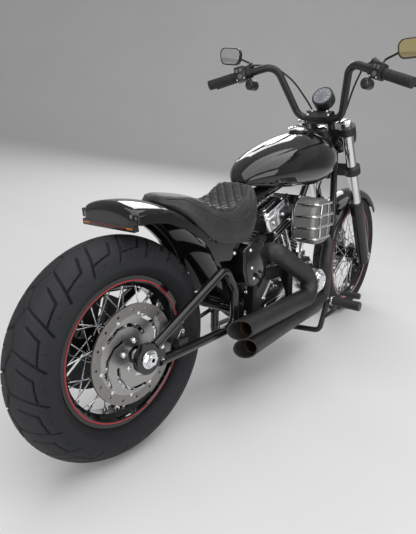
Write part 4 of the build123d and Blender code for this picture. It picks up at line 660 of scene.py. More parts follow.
# Rims: red pinstripes, nipples and a valve
def rim_details(end, hub, bead, stripe, stripe_y, flange, flange_y):
    """Hardware of a laced rim with 20 spokes on each side."""
    bm = bmesh.new()
    for side in (-1, 1):
        profile = [(0.0, stripe - 1.5), (0.5, stripe - 1.3), (0.5, stripe + 1.3), (0.0, stripe + 1.5)]
        lathe(bm, hub + Y * side * stripe_y, Y * side, profile, 120, 1)
        for number in range(20):
            pair, lead = divmod(number, 2)
            degrees = 36.0 * pair + (9 if side > 0 else 0) + 6 * lead
            start = on_ring(hub, flange, degrees, side * (flange_y + (4.5 if lead else -4.5)))
            end_angle = degrees + (62.0 if lead else -62.0)
            nipple = on_ring(hub, bead - 18.9, end_angle, side * (9.0 if lead else 5.0))
            back = (start - nipple).normalized()
            lathe(bm, nipple, back, [(-0.6, 4.2), (1.5, 4.2), (2.2, 3.3), (13.0, 3.1), (14.0, 2.3)], 10)
            lathe(bm, start - back, -back, [(0, 3.6), (4.0, 3.4), (5.0, 2.2)], 8)
    profile = [(0, 5.5), (3, 5.5), (3.2, 3.4), (24, 3.2), (24.2, 4.0), (33, 4.0), (34, 0)]
    lathe(bm, hub + Vector((0, -9, 16 - bead)), Z, profile, 12)
    piece(f"{end}_rim_hardware", bm, [STEEL, RED], f"{end}_wheel")


rim_details("rear", REAR_HUB, 203.0, 204.8, 45.8, 64.0, 40.0)
rim_details("front", FRONT_HUB, 241.0, 251.0, 40.8, 48.0, 34.0)

# Disc bolts and rotor buttons, and the drive pulley's bolts
bm = bmesh.new()
for turn in range(5):
    dome_bolt(bm, on_ring(REAR_HUB, 42, 72 * turn + 20, -69.5), -Y, 8.0, 6.0)
    dome_bolt(bm, on_ring(REAR_HUB, 42, 72 * turn + 20, 106.5), Y, 8.0, 3.0)
for turn in range(10):
    profile = [(0, 5.5), (1.2, 5.5), (1.6, 4.6), (1.6, 2.4), (1.0, 2.2), (1.0, 0)]
    lathe(bm, on_ring(REAR_HUB, 118, 36 * turn + 8, -69.5), -Y, profile, 14)
piece("rear_disc_hardware", bm, [CHROME], "rear_wheel")

bm = bmesh.new()
for turn in range(5):
    dome_bolt(bm, on_ring(FRONT_HUB, 34, 72 * turn + 20, 65.5), Y, 5.5, 4.0)
piece("front_disc_hardware", bm, [CHROME], "front_wheel")

# Rear axle ends: a washer, a hollow nut and a collar on each arm, and the adjusters' bolts
bm = bmesh.new()
for side, arm, end in ((-1, 125.8, 140.0), (1, 136.3, 153.0)):
    out = Y * side
    lathe(bm, REAR_HUB + out * arm, out, [(0, 27), (1.8, 27), (2.4, 26.2), (2.4, 13)])
    nut = [(0, 6.2), (0, 10.5), (2.2, 12.8), (6, 12.8), (6, 17.5), (7.5, 17.8)]
    lathe(bm, REAR_HUB + out * end, -out, nut, 36)
    lathe(bm, REAR_HUB + out * (end - 4.2), out, [(0, 16.6), (1.4, 16.4), (1.8, 15.4), (1.8, 12.9)], 36)
    for height in (-20, 20):
        hex_bolt(bm, REAR_HUB + X * 50 + out * (arm - 1.2) + Z * height, out, 5.0, 3.2)
piece("rear_axle_hardware", bm, [CHROME], "frame")

# Exhaust tips: a bronze baffle ring with its core tube a little way in, then a near-black lining and a disc
# closing the bore: soot on the lining, painted shade on the disc for the pipe's dark depth
bm = bmesh.new()
for tip, tail, bend in (
    ((352, -181, 309), (292, -179, 309), UPPER_PIPE_BEND),
    ((378, -187, 236), (318, -189, 236), LOWER_PIPE_BEND),
):
    into = (bend - Vector(tail)).normalized()
    mouth = Vector(tip) + into * 38
    ring = [(0, 31.3), (0, 24.5), (-5, 23.5), (-6, 22.0), (-3, 20.6), (60, 20.6)]
    lathe(bm, mouth, into, ring, 44, 0)
    # The disc closing the bore and the lining are near black: soot on the lining, painted shade on the disc
    # standing for the pipe's dark depth
    lathe(bm, mouth + into * 60, into, [(0, 31.4), (0, 0)], 44, 1)
    lathe(bm, mouth + into * 4, into, [(0, 31.35), (56, 31.35)], 44, 1)
piece("exhaust_baffles", bm, [BRONZE, SOOT_AND_PAINTED_SHADE], "frame")

# Rocker covers: a raised top with ribs, and bolts
ROCKER_TOP = 350.3
bm = bmesh.new()
for lean in (-1, 1):
    side, up = vee(lean)
    slab(bm, rounded(100, 100, 16), CRANK + up * (ROCKER_TOP - 1.0), side, Y, 3.6, 1.6)
    for a, b in ((-62, -62), (62, -62), (-62, 62), (62, 62), (-62, 0), (62, 0)):
        dome_bolt(bm, CRANK + side * a + Y * b + up * 350.0, up, 5.5, 4.5)
    for a in (-52, 18):
        dome_bolt(bm, CRANK + side * a - Y * 87.2 + up * 309, Vector((0, -1, 0.14)), 7.5, 5.0)
    for a in (-30, -10, 10, 30):
        middle = CRANK + side * a + up * (ROCKER_TOP + 2.6)
        sweep(bm, [middle - Y * 40, middle + Y * 40], 2.0, 8)
    for a in (-56, 56):
        hex_bolt(bm, CRANK + side * a - Y * 88.0 + up * 264, -Y, 6.0, 4.5)
piece("rocker_cover_hardware", bm, [CHROME], "frame")

# Pushrod tubes: collars along them and screws in their base
bm = bmesh.new()
for lean in (-1, 1):
    side, up = vee(lean)
    base_x = CRANK.x + lean * 42.0
    for along in (-20.0, 20.0):
        low = Vector((base_x + along * 0.8, -89.3, 467))
        high = CRANK + side * (along - lean * 8.0) - Y * 81.0 + up * 236.0
        for share, radius in ((0.04, 11.5), (0.46, 10.6), (0.52, 9.6), (0.93, 10.8)):
            collar = [(-5, 8.1), (-4.4, radius), (4.4, radius), (5, 8.1)]
            lathe(bm, low.lerp(high, share), high - low, collar, 18)
    for a in (-22, 22):
        dome_bolt(bm, (base_x + a, -108.8, 448), -Y, 4.5, 3.5)
piece("pushrod_hardware", bm, [CHROME], "frame")

# Cam cover's cap and screws, and the gearbox cover's screws, raised plate and ribs
CAM_FACE_Y = -124.0
GEARBOX_FACE_Y = -114.0
bm = bmesh.new()
cam = Vector((950, -186.0, 343))
lathe(bm, cam, -Y, [(-0.2, 33), (1.2, 33), (2.0, 31.5), (2.0, 24), (0.6, 23), (0.6, 0)], 44)
for turn in range(3):
    dome_bolt(bm, on_ring(cam, 27.5, 120 * turn + 30, -1.6), -Y, 3.4, 2.6)
for x, z in ((812, 418), (880, 421), (948, 418), (980, 372), (982, 286), (940, 254), (866, 254), (816, 304)):
    dome_bolt(bm, (x, CAM_FACE_Y, z), -Y, 5.2, 4.2)
for x, z in ((590, 272), (680, 272), (758, 272), (753, 328), (716, 388), (652, 393), (603, 342)):
    dome_bolt(bm, (x, GEARBOX_FACE_Y, z), -Y, 4.8, 4.0)
plate = [(600, 285), (742, 285), (738, 318), (668, 322), (612, 316)]
slab(bm, plate, (0, GEARBOX_FACE_Y + 0.4, 0), X, Z, 2.6, 1.0)
for x in (628, 646, 664, 682, 700):
    sweep(bm, [(x, GEARBOX_FACE_Y, 332), (x + 2, GEARBOX_FACE_Y, 384 - abs(x - 668) * 0.5)], 2.2, 8)
piece("engine_cover_hardware", bm, [CHROME], "frame")

# Case bolts, the gearbox filler and the wire along the gearbox top
CASE_HALF_WIDTH = 78.0
CASE_TOP_Z = 440
bm = bmesh.new()
for x, z in ((720, 270), (720, 330), (724, 398), (990, 270), (990, 340), (940, 222), (860, 216), (780, 216)):
    for side in (-1, 1):
        hex_bolt(bm, (x, side * CASE_HALF_WIDTH, z), Y * side, 6.0, 5.0)
for x, y in ((640, -60), (740, -60), (640, 20), (740, 20)):
    hex_bolt(bm, (x, y, CASE_TOP_Z), Z, 6.0, 5.0)
lathe(bm, (690, -40, CASE_TOP_Z), Z, [(0, 20), (10, 20), (12, 17), (18, 17), (20, 12), (20, 0)], 28)
wire = [(560, -60, 452), (600, -82, 448), (650, -94, 452), (710, -96, 446), (772, -98, 452)]
sweep(bm, smooth_path(wire), 5.0, 10)
piece("engine_case_hardware", bm, [STEEL], "frame")

# Primary cover: screws round its edge and two round inspection covers
CLUTCH_AT = Vector((650, 0, 353))
SPROCKET_AT = Vector((874, 0, 345))
bm = bmesh.new()
for turn in range(14):
    at = Vector((762, 0, 349)) + Vector((196 * cos(2 * pi * turn / 14), 0, 84 * sin(2 * pi * turn / 14)))
    centre, limit = (SPROCKET_AT, 86) if at.x > 780 else (CLUTCH_AT, 94)
    if (at - centre).length > limit:
        at = centre + (at - centre).normalized() * limit
    dome_bolt(bm, at + Y * 150.0, Y, 5.2, 8.5)
for centre, profile, segments, bolt_ring in (
    (CLUTCH_AT, [(-0.5, 62), (2, 62), (4, 58), (4, 30), (6, 28), (6, 0)], 48, 50),
    (SPROCKET_AT, [(-0.5, 48), (2, 48), (4, 45), (4, 22), (2.5, 20), (2.5, 0)], 44, 36),
):
    lathe(bm, centre + Y * 158, Y, profile, segments)
    for turn in range(5):
        dome_bolt(bm, on_ring(centre, bolt_ring, 72 * turn + 18, 161.6), Y, 4.6, 3.4)
piece("primary_cover_hardware", bm, [ALLOY], "frame")

# Air cleaner: bent chrome bars over the gauze and a back plate
FILTER = Vector((862, -212, 610))
FILTER_HALF_FLAT = 22.0
FILTER_CORNER = 62.0
BAR_STANDS_OFF = 2.7
bm = bmesh.new()
for level in (-66.0, -22.0, 22.0, 66.0):
    over = max(0.0, abs(level) - 26.0)
    half = FILTER_HALF_FLAT + sqrt(FILTER_CORNER ** 2 - over ** 2) + BAR_STANDS_OFF
    out = -BAR_STANDS_OFF
    side = [(half, 78, 0), (half, 38, 3), (half - 3, out + 14, 5), (half - 16, out, 6)]
    path = [(-x, y, z) for x, y, z in side] + [(0, out - 1.2, 7)] + side[::-1]
    sweep(bm, smooth_path([FILTER + Z * level + Vector(point) for point in path], 5), 5.2, 12)
for side in (-1, 1):
    path = [(30 * side, -3.5, -60), (34 * side, -4.2, 0), (30 * side, -3.5, 72)]
    sweep(bm, smooth_path([FILTER + Vector(point) for point in path]), 3.6, 10)
slab(bm, rounded(174, 182, 64, 8), FILTER + Y * 85, X, Z, -9.0, 2.0)
piece("air_cleaner_cage", bm, [CHROME], "frame")

# Side cover: a raised gloss panel with chrome screws, and the frame's and fender's chrome bolts
bm = bmesh.new()
panel = [(446, 552), (474, 562), (542, 562), (577, 522), (570, 446), (532, 407), (460, 436), (445, 484)]
slab(bm, panel, (0, -133.8, 0), X, Z, 2.4, 1.6)
piece("side_cover_panel", bm, [GLOSS], "frame")

bm = bmesh.new()
for x, z in ((466, 551), (478, 487), (492, 447)):
    dome_bolt(bm, (x, -136.4, z), -Y, 6.5, 4.2)
for side in (-1, 1):
    dome_bolt(bm, (412, side * 108.3, 546), Y * side, 7.0, 4.6)
    for x, z in ((486, 340), (522, 380), (522, 300)):
        hex_bolt(bm, (x, side * 83.8, z), Y * side, 7.0, 5.0)
piece("chassis_bolts", bm, [CHROME], "frame")

# Exhaust: the horn that joins the rear header to its pipe
bm = bmesh.new()
mouth, port = Vector((640, -145, 512)), Vector((621, -84, 520))
leaving = (mouth - UPPER_PIPE_BEND).normalized() * 62.0
arriving = Vector((0.395, 0.889, 0.235)) * 62.0
path, sizes = [mouth - leaving * 0.2], [36.6]
for t in (step / 14 for step in range(15)):
    path.append(
        mouth * (2 * t ** 3 - 3 * t * t + 1) + leaving * (t ** 3 - 2 * t * t + t)
        + port * (3 * t * t - 2 * t ** 3) + arriving * (t ** 3 - t * t)
    )
    sizes.append(36.8 - 13.6 * max(0.0, (t - 0.25) / 0.75) ** 1.6)
sweep(bm, path, sizes, 48)
piece("header_horn", bm, [PIPE], "frame")

# Tail light: a smoked bar with a row of small lamps and amber ends
bm = bmesh.new()
tail_angle = radians(97)
out = Vector((cos(tail_angle), 0, sin(tail_angle)))
back = Vector((-sin(tail_angle), 0, cos(tail_angle)))
middle = REAR_FENDER_CENTRE + out * 336.3
for number in range(17):
    at = middle + Y * (number - 8) * 7.6 + back * 0.2
    lathe(bm, at, back, [(0, 2.2), (0.6, 2.0), (0.9, 1.1), (1.0, 0)], 10, 0)
for side in (-1, 1):
    slab(bm, rounded(22, 4.5, 2, 3), middle + Y * side * 80 - back * 0.1, Y, out, -1.0, 0.4, 1)
slab(bm, rounded(188, 15.0, 4, 4), middle - back * 0.6, Y, out, -0.7, 0.3, 2)
piece("tail_lamps", bm, [RED_LENS, AMBER, SMOKE], "frame")


# Saddle: an inflated cushion with a quilted centre, a welt along each side and stitching
QUILT_FROM, QUILT_TO = 282.0, 556.0
QUILT_PITCH = 36.0
QUILT_BORDER = 4.0
VOXEL = 0.0045
SHRINK = 0.003
SWELL_MOST = 0.0045
STUFFING_FRAMES = 20
STUFFING = {
    "quality": 5, "mass": 0.3, "tension_stiffness": 30, "compression_stiffness": 30, "shear_stiffness": 15,
    "bending_stiffness": 4, "use_pressure": True, "uniform_pressure_force": 4.0, "vertex_group_mass": "held",
}
UPWARD = 0.3


def quilt_half(x):
    """Half the width of the quilted panel."""
    share = min(max((x - QUILT_FROM) / (QUILT_TO - QUILT_FROM), 0.0), 1.0)
    return 66.0 + 38.0 * sin(pi * min(share * 0.92 + 0.08, 1.0)) - 12.0 * share


def quilt_depth(x, y):
    """Signed height of the quilting: puffs stand up, seams sink, nothing outside the centre panel."""
    edge = min(quilt_half(x) - abs(y), x - QUILT_FROM, QUILT_TO - x)
    border = -2.6 * max(0.0, 1 - (edge / QUILT_BORDER) ** 2)
    if edge < 0:
        return border
    seams = [0.5 - abs((place / QUILT_PITCH) % 1.0 - 0.5) for place in (x + y, x - y)]
    gap = min(seams) * QUILT_PITCH / 1.414
    puff = 2.4 * (1 - np.exp(-(gap / 4.6) ** 2)) - 2.8 * np.exp(-(gap / 1.9) ** 2)
    return border + min(edge / 5.0, 1.0) * puff


def vertex_values(data, kind):
    """The co or the normal of every vertex of a mesh, as rows."""
    values = np.empty(len(data.vertices) * 3)
    data.vertices.foreach_get(kind, values)
    return values.reshape(-1, 3)


def bake(item, kind, **settings):
    """Apply a modifier to a piece's mesh."""
    modifier = item.modifiers.new("step", kind)
    for key, value in settings.items():
        setattr(modifier, key, value)
    data = bpy.data.meshes.new_from_object(item.evaluated_get(bpy.context.evaluated_depsgraph_get()))
    item.modifiers.clear()
    old = item.data
    item.data = data
    bpy.data.meshes.remove(old)


def swell(saddle, start, held):
    """The vertices' places once the cushion is a cloth under pressure, its held part fixed."""
    group = saddle.vertex_groups.new(name="held")
    group.add([int(index) for index in np.nonzero(held)[0]], 1.0, "REPLACE")
    cloth = saddle.modifiers.new("stuffing", "CLOTH")
    for key, value in STUFFING.items():
        setattr(cloth.settings, key, value)
    cloth.settings.effector_weights.gravity = 0
    cloth.point_cache.frame_start = 1
    cloth.point_cache.frame_end = STUFFING_FRAMES
    for step in range(1, STUFFING_FRAMES + 1):
        scene.frame_set(step)
    puffed = saddle.evaluated_get(bpy.context.evaluated_depsgraph_get())
    move = vertex_values(puffed.to_mesh(), "co") - start
    puffed.to_mesh_clear()
    saddle.modifiers.clear()
    saddle.vertex_groups.clear()
    scene.frame_set(1)
    move *= np.minimum(1.0, SWELL_MOST / np.maximum(np.linalg.norm(move, axis=1), 1e-9))[:, None]
    move[held] = 0
    return start + move


def make_saddle():
    """The seat's solid with rounded, stuffed sides, then quilted."""
    source = nodes["seat"]
    saddle = bpy.data.objects.new("saddle", source.data.copy())
    scene.collection.objects.link(saddle)
    saddle.data.transform(source.matrix_world)
    bake(saddle, "REMESH", mode="VOXEL", voxel_size=VOXEL)
    data = saddle.data
    places, normals = vertex_values(data, "co"), vertex_values(data, "normal")
    upright, up = moved(places, TO_UPRIGHT), moved(normals, TURN.inverted())[:, 2]
    reach = np.hypot(upright[:, 0] - REAR_FENDER_CENTRE.x, upright[:, 2] - REAR_FENDER_CENTRE.z)
    aside = np.abs(upright[:, 1])
    hollow = (up < -0.25) | ((reach < 403.5) & (aside < 113) & (up < UPWARD))
    held = hollow | ((aside < 112) & (up < 0.1) & (reach < 440))
    start = places - normals * np.where(held, 0.0, SHRINK)[:, None]
    data.vertices.foreach_set("co", start.reshape(-1))
    data.vertices.foreach_set("co", swell(saddle, start, held).reshape(-1))
    data.update()

    bake(saddle, "SUBSURF", levels=1)
    data = saddle.data
    places, normals = vertex_values(data, "co"), vertex_values(data, "normal")
    upright, up = moved(places, TO_UPRIGHT), moved(normals, TURN.inverted())[:, 2]
    lift = np.zeros(len(places))
    for index in np.nonzero(up > UPWARD)[0]:
        x, y, z = upright[index]
        if QUILT_FROM - 6 < x < QUILT_TO + 6 and abs(y) < 116 and z > 620:
            lift[index] = 0.001 * quilt_depth(x, y) * min(1.0, (up[index] - UPWARD) / 0.2)
    data.vertices.foreach_set("co", (places + normals * lift[:, None]).reshape(-1))
    data.update()
    data.materials.clear()
    data.materials.append(LEATHER)
    data.polygons.foreach_set("use_smooth", [True] * len(data.polygons))
    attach(saddle, "frame")
    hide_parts("seat")
    return saddle


saddle = make_saddle()
copy = saddle.data.copy()
copy.transform(TO_UPRIGHT)
tree = BVHTree.FromPolygons([v.co for v in copy.vertices], [p.vertices for p in copy.polygons])
bpy.data.meshes.remove(copy)


def seat_top(x, y):
    """The cushion's top at a place seen from above, in upright millimetres."""
    return tree.ray_cast(Vector((x, y, 900)), -Z)[0]


SEAT_LINE = [(172, 40), (190, 64), (240, 92), (300, 107), (380, 114), (470, 114), (514, 106), (552, 74)]
bm = bmesh.new()
for side in (-1, 1):
    path = []
    for (x0, h0), (x1, h1) in zip(SEAT_LINE, SEAT_LINE[1:]):
        for share in (step / 8 for step in range(8)):
            hit = seat_top(x0 + (x1 - x0) * share, side * (h0 + (h1 - h0) * share))
            if hit:
                path.append(hit + Z * 0.4)
    sweep(bm, path, 2.2, 8)
piece("saddle_welt", bm, [LEATHER], "frame")

bm = bmesh.new()
seam = np.linspace(QUILT_FROM + 3, QUILT_TO - 3, 60)
for side in (-1, 1):
    for x0, x1 in zip(seam[::2], seam[1::2]):
        first, second = (seat_top(x, side * (quilt_half(x) + 3.4)) for x in (x0, x1))
        if first and second:
            ends = first.lerp(second, 0.06), first.lerp(second, 0.94)
            sweep(bm, [ends[0], (first + second) / 2 + Z * 0.7, ends[1]], [0.35, 0.75, 0.35], 5)
piece("saddle_stitches", bm, [THREAD], "frame")

# Handlebar grips: rubber with raised lozenges, a collar and a capped end
GRIP_FROM, GRIP_TO = -6, 128
GRIP_STEPS = 72
bm = bmesh.new()
for side in (-1, 1):
    start, end = along_bar(side, GRIP_FROM), along_bar(side, GRIP_TO)
    axis = (end - start).normalized()
    first, second = basis(axis)
    rows = []
    for along in ((GRIP_TO - GRIP_FROM) * row / 91 for row in range(92)):
        ring = []
        for step in range(GRIP_STEPS):
            angle = 2 * pi * step / GRIP_STEPS
            lozenge = sum(abs((along / 13.0 + turn / 9.0) % 1.0 - 0.5) for turn in (step, -step))
            radius = 18.6 + (1.9 if lozenge > 0.36 and 10 < along < 118 else 0.0)
            radius += 2.0 if along >= 121 or along <= 7 else 0.0
            radius -= max(0.0, 1.5 - along) * 1.6 + max(0.0, along - 133) * 1.2
            away = first * cos(angle) + second * sin(angle)
            ring.append(bm.verts.new(start + axis * along + away * radius))
        rows.append(ring)
    skin(bm, rows, GRIP_STEPS)
    lathe(bm, start, -axis, [(0.0, 18.2), (0.0, 14), (-1.4, 12.5), (-1.4, 5), (-0.4, 4), (-0.4, 0)], 32)
    lathe(bm, end, axis, [(0.0, 19.4), (0.0, 16.2)], 36)
piece("grip_rubber", bm, [RUBBER], "steering", 30, ["grips"])

# Switch blocks, buttons and the indicators' lenses
bm = bmesh.new()
for side in (-1, 1):
    axis = (along_bar(side, 173) - along_bar(side, 132)).normalized()
    behind = (along_bar(side, 150, -1) - along_bar(side, 150)).normalized()
    over = (along_bar(side, 150, 0, 1) - along_bar(side, 150)).normalized()
    for at, size, bevel, material in (
        ((152, -9, 2), (50, 46, 62), 10.0, 0), ((181, 8, 8), (30, 44, 46), 9.0, 0),
        ((150, -31.5, 14), (38, 4, 20), 2.0, 1), ((141, -33.5, 14), (12, 6, 14), 1.6, 2),
        ((159, -33.5, 14), (12, 6, 14), 1.6, 2),
    ):
        box(bm, along_bar(side, *at), size, (axis, behind, over), bevel, material)
    button = [(0, 9.5), (2.5, 9.5), (3.2, 8.4), (3.2, 6.6), (5.8, 6.4), (6.4, 5), (6.4, 0)]
    lathe(bm, along_bar(side, 150, -31.5, -12), behind, button, 22, 2)
    for along in (136, 168):
        dome_bolt(bm, along_bar(side, along, -31.6, -22), behind, 3.0, 2.2, 3)
    band = [(-1.5, 12), (-1.5, 15.6), (0, 16.0), (1.5, 15.6), (1.5, 12)]
    lathe(bm, along_bar(side, 172, 12, 20), axis, band, 28, 3)
    indicator = along_bar(side, 188, -2, -52)
    for end, way, rim, cover in ((-20, -X, 0, 4), (22, X, 3, 5)):
        at = indicator + X * end
        lathe(bm, at, way, [(-0.4, 20.4), (1.6, 20.4), (2.0, 18.8), (2.0, 17.6)], 36, rim)
        lathe(bm, at, way, [(0.6, 17.8), (2.6, 16.5), (4.6, 12), (5.6, 6), (5.9, 0)], 36, cover)
piece("switch_blocks", bm, [SATIN, RUBBER, BUTTON, CHROME, SMOKE, AMBER], "steering")


# Mirror glass with a black bezel; the right mirror's glass is tinted gold as a painted warm reflection
def round_corners(corners, radius):
    """A closed outline whose corners are rounded to a radius."""
    outline = []
    for before, here, after in zip(corners[-1:] + corners[:-1], corners, corners[1:] + corners[:1]):
        here = Vector(here)
        a, b = (Vector(before) - here).normalized(), (Vector(after) - here).normalized()
        half_angle = a.angle(b) / 2
        centre = here + (a + b).normalized() * (radius / sin(half_angle))
        first, last = (here + way * (radius / tan(half_angle)) - centre for way in (a, b))
        outline += [centre + first.lerp(last, step / 8).normalized() * radius for step in range(9)]
    return outline


# The right mirror gets the gold-tinted glass, a painted warm reflection; the left one gets plain mirror glass
for side, name, glass in ((-1, "right", WARM_REFLECTION_MIRROR), (1, "left", GLASS_MIRROR)):
    outline = round_corners([(side * 62, 36), (side * 50, -36), (-side * 46, -42), (-side * 60, 26)], 26.0)
    middle = Vector((1088, side * 413, 1259))
    bm = bmesh.new()
    slab(bm, [(a * 0.90, b * 0.88) for a, b in outline], middle - X * 0.1, Y, Z, -1.3, 0.4)
    piece(f"mirror_glass_{name}", bm, [glass], "steering", 60)
    bm = bmesh.new()
    bezel = [middle + Y * a * 0.955 + Z * b * 0.95 - X * 0.8 for a, b in outline]
    sweep(bm, bezel, 1.6, 8, closed=True)
    piece(f"mirror_bezel_{name}", bm, [SATIN], "steering")

# Instrument: bezel, dial with ticks, numbers and needle, domed glass, and the bracket's screws
DIAL_TILT = radians(35)
DIAL_START = 225
DIAL_SWEEP = 270
face_normal = Vector((-cos(DIAL_TILT), 0, sin(DIAL_TILT)))
face_up = Vector((sin(DIAL_TILT), 0, cos(DIAL_TILT)))
face_right = -Y
face = Vector((1226, 0, 1089)) + face_normal * 22.0


def dial_ways(degrees):
    """The directions outward and across at an angle of the dial."""
    angle = radians(degrees)
    return face_right * cos(angle) + face_up * sin(angle), face_up * cos(angle) - face_right * sin(angle)


bm = bmesh.new()
bezel = [(-3.0, 48.6), (0.6, 47.5), (2.4, 45.0), (2.8, 42.6), (1.6, 41.0), (0.5, 40.8)]
lathe(bm, face, face_normal, bezel, 60, 0)
lathe(bm, face, face_normal, [(0.5, 41.0), (0.5, 0)], 60, 1)
for number in range(33):
    way, cross = dial_ways(DIAL_START - DIAL_SWEEP * number / 32)
    reach, size = (36.0, (6.5, 1.5, 0.5)) if number % 4 == 0 else (37.2, (3.8, 0.8, 0.5))
    box(bm, face + face_normal * 0.75 + way * reach, size, (way, cross, face_normal), 0.0, 2)
way, cross = dial_ways(200)
box(bm, face + face_normal * 1.7 + way * 12.5, (32.0, 1.8, 0.8), (way, cross, face_normal), 0.0, 3)
lathe(bm, face + face_normal * 0.6, face_normal, [(0, 5.2), (1.8, 5.0), (2.4, 3.8), (2.4, 0)], 28, 0)
slab(bm, rounded(24, 9, 1.6, 3), face + face_normal * 0.6 - face_up * 20.0, face_right, face_up, 0.4, 0.1, 4)
piece("speedometer_dial", bm, [SATIN, DIAL, DIAL_MARK, RED, SMOKE], "steering")
for number, label in enumerate(range(0, 161, 20)):
    curve = bpy.data.curves.new(f"dial_number_{label}", "FONT")
    curve.body = str(label)
    curve.size = 7.0
    curve.align_x = "CENTER"
    curve.align_y = "CENTER"
    shown = bpy.data.objects.new(f"dial_text_{label}", curve)
    scene.collection.objects.link(shown)
    flat = bpy.data.meshes.new_from_object(shown)
    bpy.data.objects.remove(shown)
    bpy.data.curves.remove(curve)
    way = dial_ways(DIAL_START - DIAL_SWEEP * number / 8)[0]
    turn = Matrix((face_right, face_up, face_normal)).transposed().to_4x4()
    bm = bmesh.new()
    bm.from_mesh(flat)
    bpy.data.meshes.remove(flat)
    bm.transform(Matrix.Translation(face + face_normal * 0.8 + way * 28.0) @ turn)
    piece(f"dial_number_{label}", bm, [DIAL_MARK], "steering")
bm = bmesh.new()
lathe(bm, face + face_normal * 1.2, face_normal, [(0.6, 41.0), (1.8, 36), (2.8, 26), (3.4, 14), (3.6, 0)], 60)
piece("speedometer_glass", bm, [CLEAR], "steering")

# Bracket screws, the fork tubes' caps, the clamps' bolts and the stem nut
bm = bmesh.new()
plate_normal = Vector((-0.72, 0, 0.69)).normalized()
plate_up = Y.cross(plate_normal).normalized()
plate = Vector((1188, 0, 1022)) + plate_normal * 6.0
for across, rise in ((-50, -8), (50, -8), (-36, 13), (36, 13)):
    dome_bolt(bm, plate + Y * across + plate_up * rise, plate_normal, 6.0, 4.4)
for side in (-1, 1):
    cap = [(-0.5, 25.5), (3, 25.0), (7, 22.5), (10, 17), (11.5, 9), (12, 0)]
    lathe(bm, steer(FORK_AHEAD, side * FORK_HALF_SPACING, 768), UP_STEM, cap, 36)
    hex_bolt(bm, steer(FORK_AHEAD + 26, side * 92, 732), AHEAD, 6.0, 5.0)
    hex_bolt(bm, steer(FORK_AHEAD + 28, side * 92, 529), AHEAD, 6.0, 5.0)
lathe(bm, steer(0, 0, 749.4), UP_STEM, [(0, 22), (5, 22), (7, 19), (9, 14), (9, 0)], 36)
piece("fork_and_bracket_chrome", bm, [CHROME], "steering")

# Fork: seals on top of the legs and caps below them
bm = bmesh.new()
for side in (-1, 1):
    seal = [(-0.3, 31.5), (5, 31.5), (7, 29), (12, 27.5), (13, 24.9)]
    lathe(bm, steer(FORK_AHEAD, side * FORK_HALF_SPACING, 334), UP_STEM, seal)
    foot = [(-0.5, 22), (4, 21), (6, 17), (6, 0)]
    lathe(bm, steer(FORK_AHEAD, side * FORK_HALF_SPACING, -43), -UP_STEM, foot, 36)
piece("fork_seals", bm, [SATIN], "steering")

# Headlight: chrome rim, fluted lens and the lamp behind it
FLUTE_PITCH = 10.0
FLUTED_RADIUS = 68.0
bm = bmesh.new()
lamp_at = Vector((1408, 0, 936))
lathe(bm, lamp_at, X, [(36, 80.4), (40, 82.0), (48, 81.0), (54, 76.5), (56, 73.5), (53, 72.5)], 64, 0)
lathe(bm, lamp_at, X, [(54.4, 73.2), (57, 66), (60, 52), (62.5, 34), (63.8, 16), (64.2, 0)], 64, 1)
for y in (FLUTE_PITCH * number for number in range(-6, 7)):
    half = sqrt(FLUTED_RADIUS ** 2 - y ** 2) - 4
    domed = [(55.0 + 8.6 * (1 - (y ** 2 + z ** 2) / 5300.0), y, z) for z in np.linspace(-half, half, 9)]
    sweep(bm, [lamp_at + Vector(point) for point in domed], 1.1, 6, 1)
lathe(bm, lamp_at, X, [(54.6, 22), (58, 20), (60, 12), (60, 0)], 32, 0)
piece("headlight_rim_and_lens", bm, [CHROME, CLEAR], "steering")


# Foot pegs: ribbed rubber between chrome ends, and ribbed pedal pads
def ribs(count, first, pitch, rise, width, low, high):
    """Profile points of raised ribs: each rises, runs level and falls within its width."""
    shape = ((0, low), (rise, high), (width - rise, high), (width, low))
    return [(first + pitch * number + along, radius) for number in range(count) for along, radius in shape]


bm = bmesh.new()
for side in (-1, 1):
    start = Vector((850, side * 285, 303))
    lathe(bm, start, Y * side, [(-6, 9), (-6, 18.6), (-1, 19.2), (2, 18.6), (2, 16.5)], 36, 1)
    end = [(111, 17.05), (112, 18.9), (115.5, 18.4), (116.8, 16), (116.8, 0)]
    lathe(bm, start, Y * side, [(3, 17.0)] + ribs(11, 6, 9.6, 1.2, 6.8, 17.05, 18.9) + end, 36)
    pad = [(0, 12.0)] + ribs(6, 3, 8.6, 1, 6, 12.05, 13.4) + [(55, 12.0), (57, 11), (57, 0)]
    lathe(bm, (974, side * 296, 301.8), Vector((0, side, 0.03)), pad, 28)
    hex_bolt(bm, (850, side * 262, 303), Y * side, 8.0, 6.0, material=1)
piece("peg_rubbers", bm, [RUBBER, CHROME], "frame")

# Tank: the chrome filler cap
bm = bmesh.new()
cap = [(-8, 36.5), (-6, 41), (-1, 42), (4, 38.5), (8, 29), (9.5, 26), (8.6, 24.5), (9.6, 12), (10, 0)]
lathe(bm, (1000, 0, 954), Z, cap, 56)
piece("filler_cap", bm, [CHROME], "frame")

# Rear caliper: a polished oval with its edge, bleed screw and mounting bolts
bm = bmesh.new()
oval = rounded(22, 46, 10.8)
oval_across, oval_along = Vector((0.8, 0, -0.6)), Vector((0.6, 0, 0.8))
oval_centre = Vector((157, -95.6, 334))
slab(bm, oval, oval_centre, oval_across, oval_along, 3.4, 1.4, 0)
slab(bm, [(a * 0.62, b * 0.8) for a, b in oval], oval_centre - Y * 3.3, oval_across, oval_along, 0.8, 0.3, 1)
for reach in (-12, 12):
    dome_bolt(bm, oval_centre - Y * 3.6 + oval_along * reach, -Y, 4.0, 3.0)
lathe(bm, (170, -92, 372), (0.5, -0.3, 0.8), [(0, 4), (6, 4), (7, 3), (12, 3), (13, 2), (13, 0)], 12)
piece("rear_caliper_face", bm, [ALLOY, SATIN], "frame")


